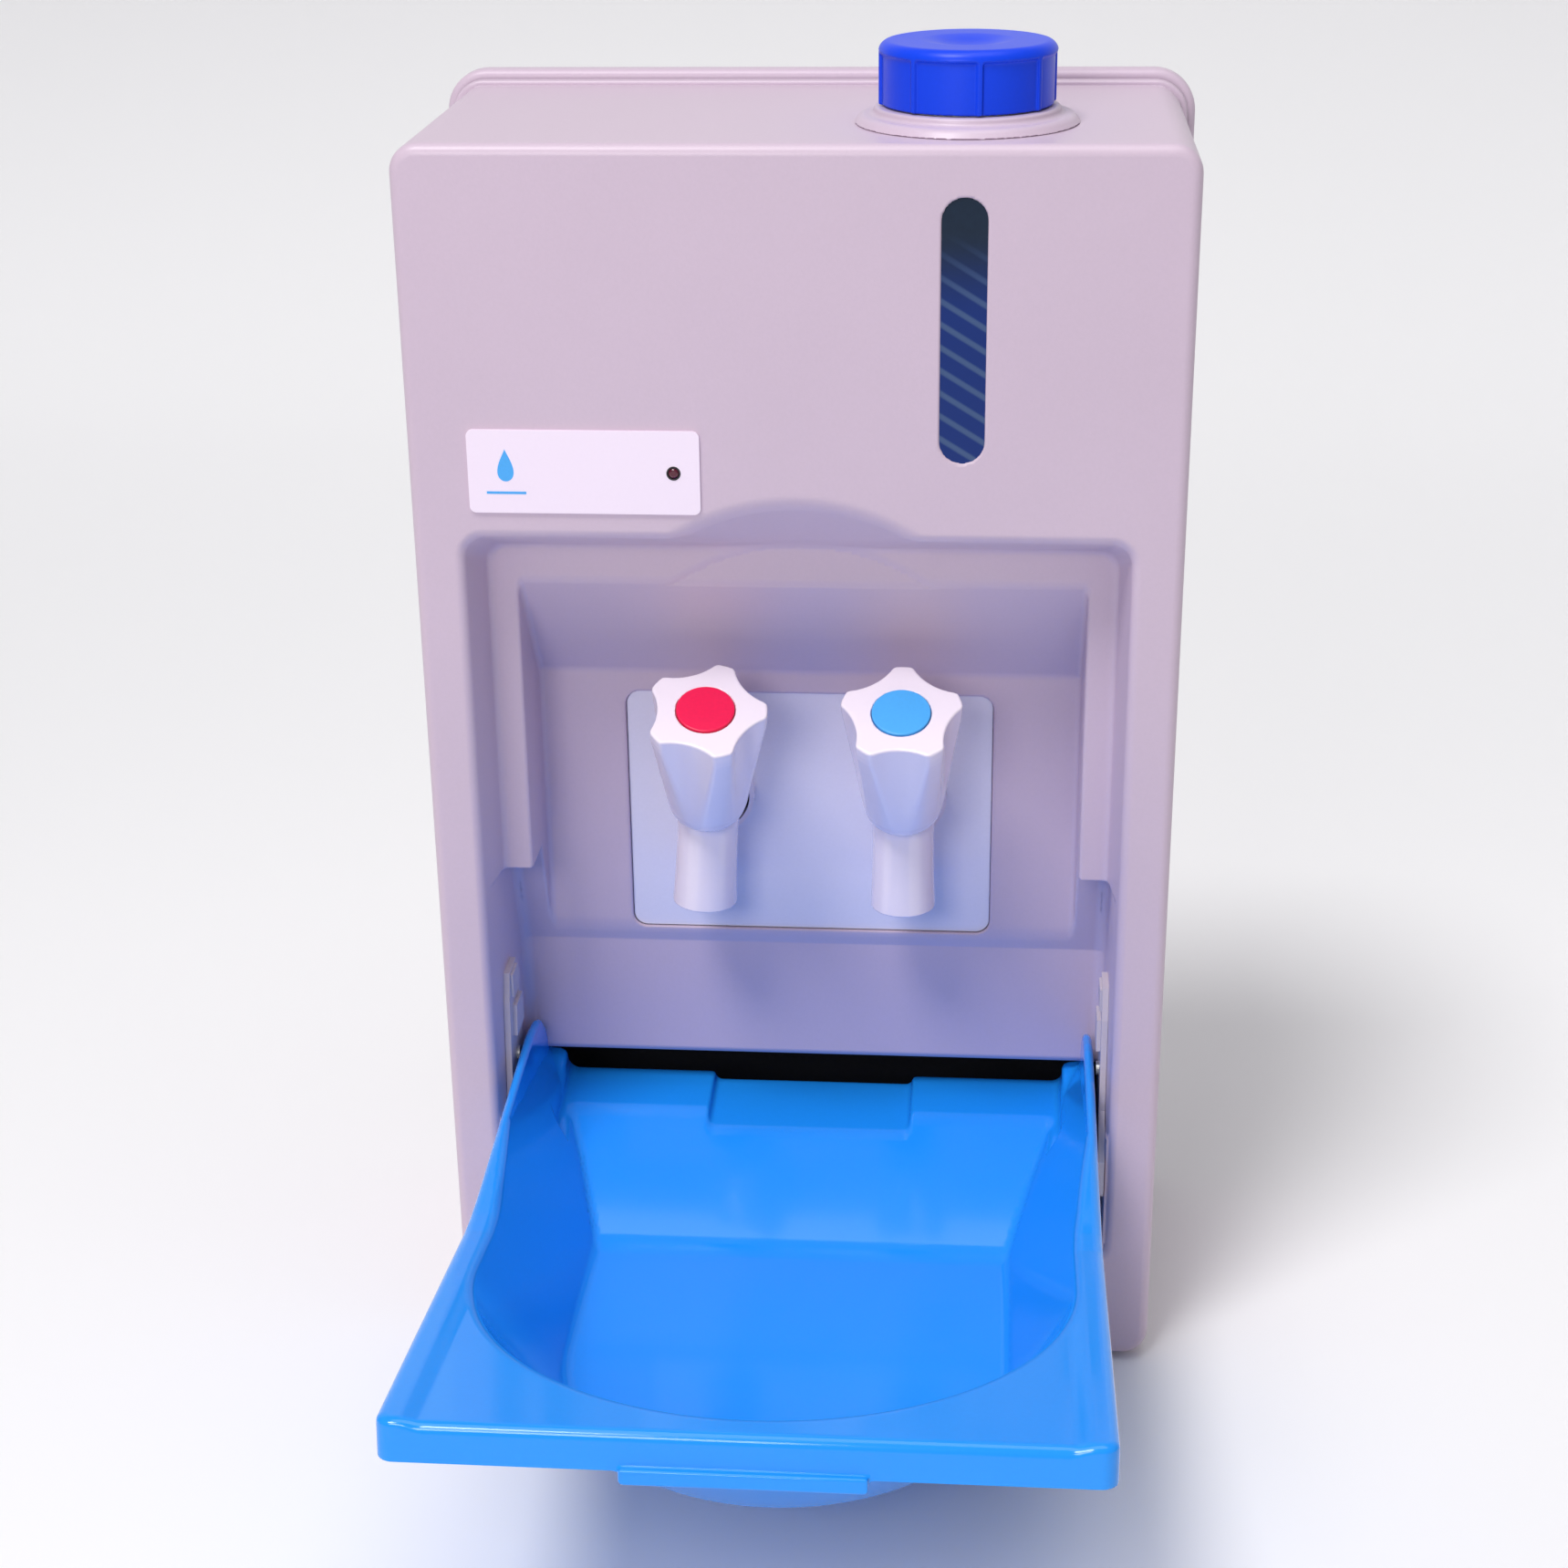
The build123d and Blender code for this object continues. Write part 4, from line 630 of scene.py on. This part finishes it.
dress(frame["nodes"]["tap_plate"], "plate_grey")
make_cover()
make_basin()
make_tap("cold", TAP_X, 0.0, 0.0)
make_tap("hot", -TAP_X, HOT_LEAN, HOT_TURN)
make_filler()
make_label_print()
SOFT_EDGES = {"hinge_bracket_left": 0.6, "hinge_bracket_right": 0.6, "tap_plate": 0.8,
              "label_plate": 0.3, "tap_escutcheons": 0.5}      # node: bevel in millimetres
for node_name, width in SOFT_EDGES.items():
    bevel = frame["nodes"][node_name].modifiers.new("soft_edges", "BEVEL")
    bevel.width = width * MM
    bevel.segments = 2
    bevel.limit_method = "ANGLE"
    bevel.angle_limit = math.radians(40)
    bevel.harden_normals = True


# ---- floor, light, camera -------------------------------------------------------------
FLOOR_REACH, FLOOR_BACK, SWEEP_R, SWEEP_STEPS, BACKDROP_TOP = 4.0, 1.6, 0.6, 12, 3.0
PAPER = (0.94, 0.93, 0.94, 1)
SKY, SKY_STRENGTH = (0.95, 0.97, 1.0, 1), 0.27
CAMERA_YAW, CAMERA_PITCH, CAMERA_ROLL = -0.0833, 0.4013, -0.0128
CAMERA_PLACE, CAMERA_LENS = (89.1, -1142.4, 799.1), 61.04


def make_floor():
    """A sheet of paper that curves up behind the object."""
    profile = [(-FLOOR_REACH, 0.0), (FLOOR_BACK, 0.0)]
    for step in range(1, SWEEP_STEPS + 1):
        angle = math.radians(90 * step / SWEEP_STEPS)
        profile.append((FLOOR_BACK + SWEEP_R * math.sin(angle),
                        SWEEP_R - SWEEP_R * math.cos(angle)))
    profile.append((FLOOR_BACK + SWEEP_R, BACKDROP_TOP))
    points = [(x, y, z) for y, z in profile for x in (-FLOOR_REACH, FLOOR_REACH)]
    faces = [(2 * i, 2 * i + 1, 2 * i + 3, 2 * i + 2) for i in range(len(profile) - 1)]
    mesh = bpy.data.meshes.new("studio_floor")
    mesh.from_pydata(points, [], faces)
    mesh.polygons.foreach_set("use_smooth", [True] * len(faces))
    obj = bpy.data.objects.new("studio_floor", mesh)
    bpy.context.scene.collection.objects.link(obj)
    mat = bpy.data.materials.new("studio_paper")
    mat.use_nodes = True
    shader_of(mat).inputs["Base Color"].default_value = PAPER
    shader_of(mat).inputs["Roughness"].default_value = 0.9
    obj.data.materials.append(mat)


def add_light(name, kind, energy, direction, place=(0, 0, 0)):
    """A light of the given kind that shines along a direction."""
    data = bpy.data.lights.new(name, kind)
    data.energy = energy
    obj = bpy.data.objects.new(name, data)
    obj.location = place
    obj.rotation_mode = "QUATERNION"
    obj.rotation_quaternion = direction.to_track_quat("-Z", "Y")
    bpy.context.scene.collection.objects.link(obj)
    return data


def sun_light(name, azimuth, height, strength, spread):
    """A soft distant light; azimuth 0 is straight in front, positive to the right."""
    a, h = math.radians(azimuth), math.radians(height)
    towards = Vector((-math.sin(a) * math.cos(h), math.cos(a) * math.cos(h), -math.sin(h)))
    add_light(name, "SUN", strength, towards).angle = math.radians(spread)


def area_light(name, place, target, size, power, colour=(1, 1, 1)):
    data = add_light(name, "AREA", power, Vector(target) - Vector(place), place)
    data.shape = "RECTANGLE"
    data.size, data.size_y = size
    data.color = colour


def make_world():
    world = bpy.data.worlds.new("studio")
    bpy.context.scene.world = world
    world.use_nodes = True
    background = world.node_tree.nodes["Background"]
    background.inputs["Color"].default_value = SKY
    background.inputs["Strength"].default_value = SKY_STRENGTH


def make_camera():
    """The photograph's viewpoint, solved from the housing's and basin's edges."""
    yaw, pitch, roll = CAMERA_YAW, CAMERA_PITCH, CAMERA_ROLL
    forward = Vector((math.sin(yaw) * math.cos(pitch), math.cos(yaw) * math.cos(pitch),
                      -math.sin(pitch)))
    right = Vector((math.cos(yaw), -math.sin(yaw), 0))
    up = right.cross(forward)
    right, up = (math.cos(roll) * right + math.sin(roll) * up,
                 -math.sin(roll) * right + math.cos(roll) * up)
    data = bpy.data.cameras.new("camera")
    data.sensor_width = 36.0
    data.lens = CAMERA_LENS
    obj = bpy.data.objects.new("camera", data)
    matrix = Matrix((right, up, -forward)).transposed().to_4x4()
    matrix.translation = ORIGIN + Vector(CAMERA_PLACE) * MM
    obj.matrix_world = matrix
    bpy.context.scene.collection.objects.link(obj)
    bpy.context.scene.camera = obj


make_floor()
make_world()
make_camera()
sun_light("key", -34, 60, 1.45, 18)
area_light("front_soft", (-0.3, -1.35, 0.95), (0, 0, 0.42), (0.5, 0.4), 5.4, (1.0, 0.97, 0.98))
area_light("top_soft", (0.1, -0.3, 2.0), (0, -0.1, 0.3), (1.4, 1.0), 9)
bpy.context.scene.view_settings.view_transform = "Standard"

bpy.context.view_layer.update()
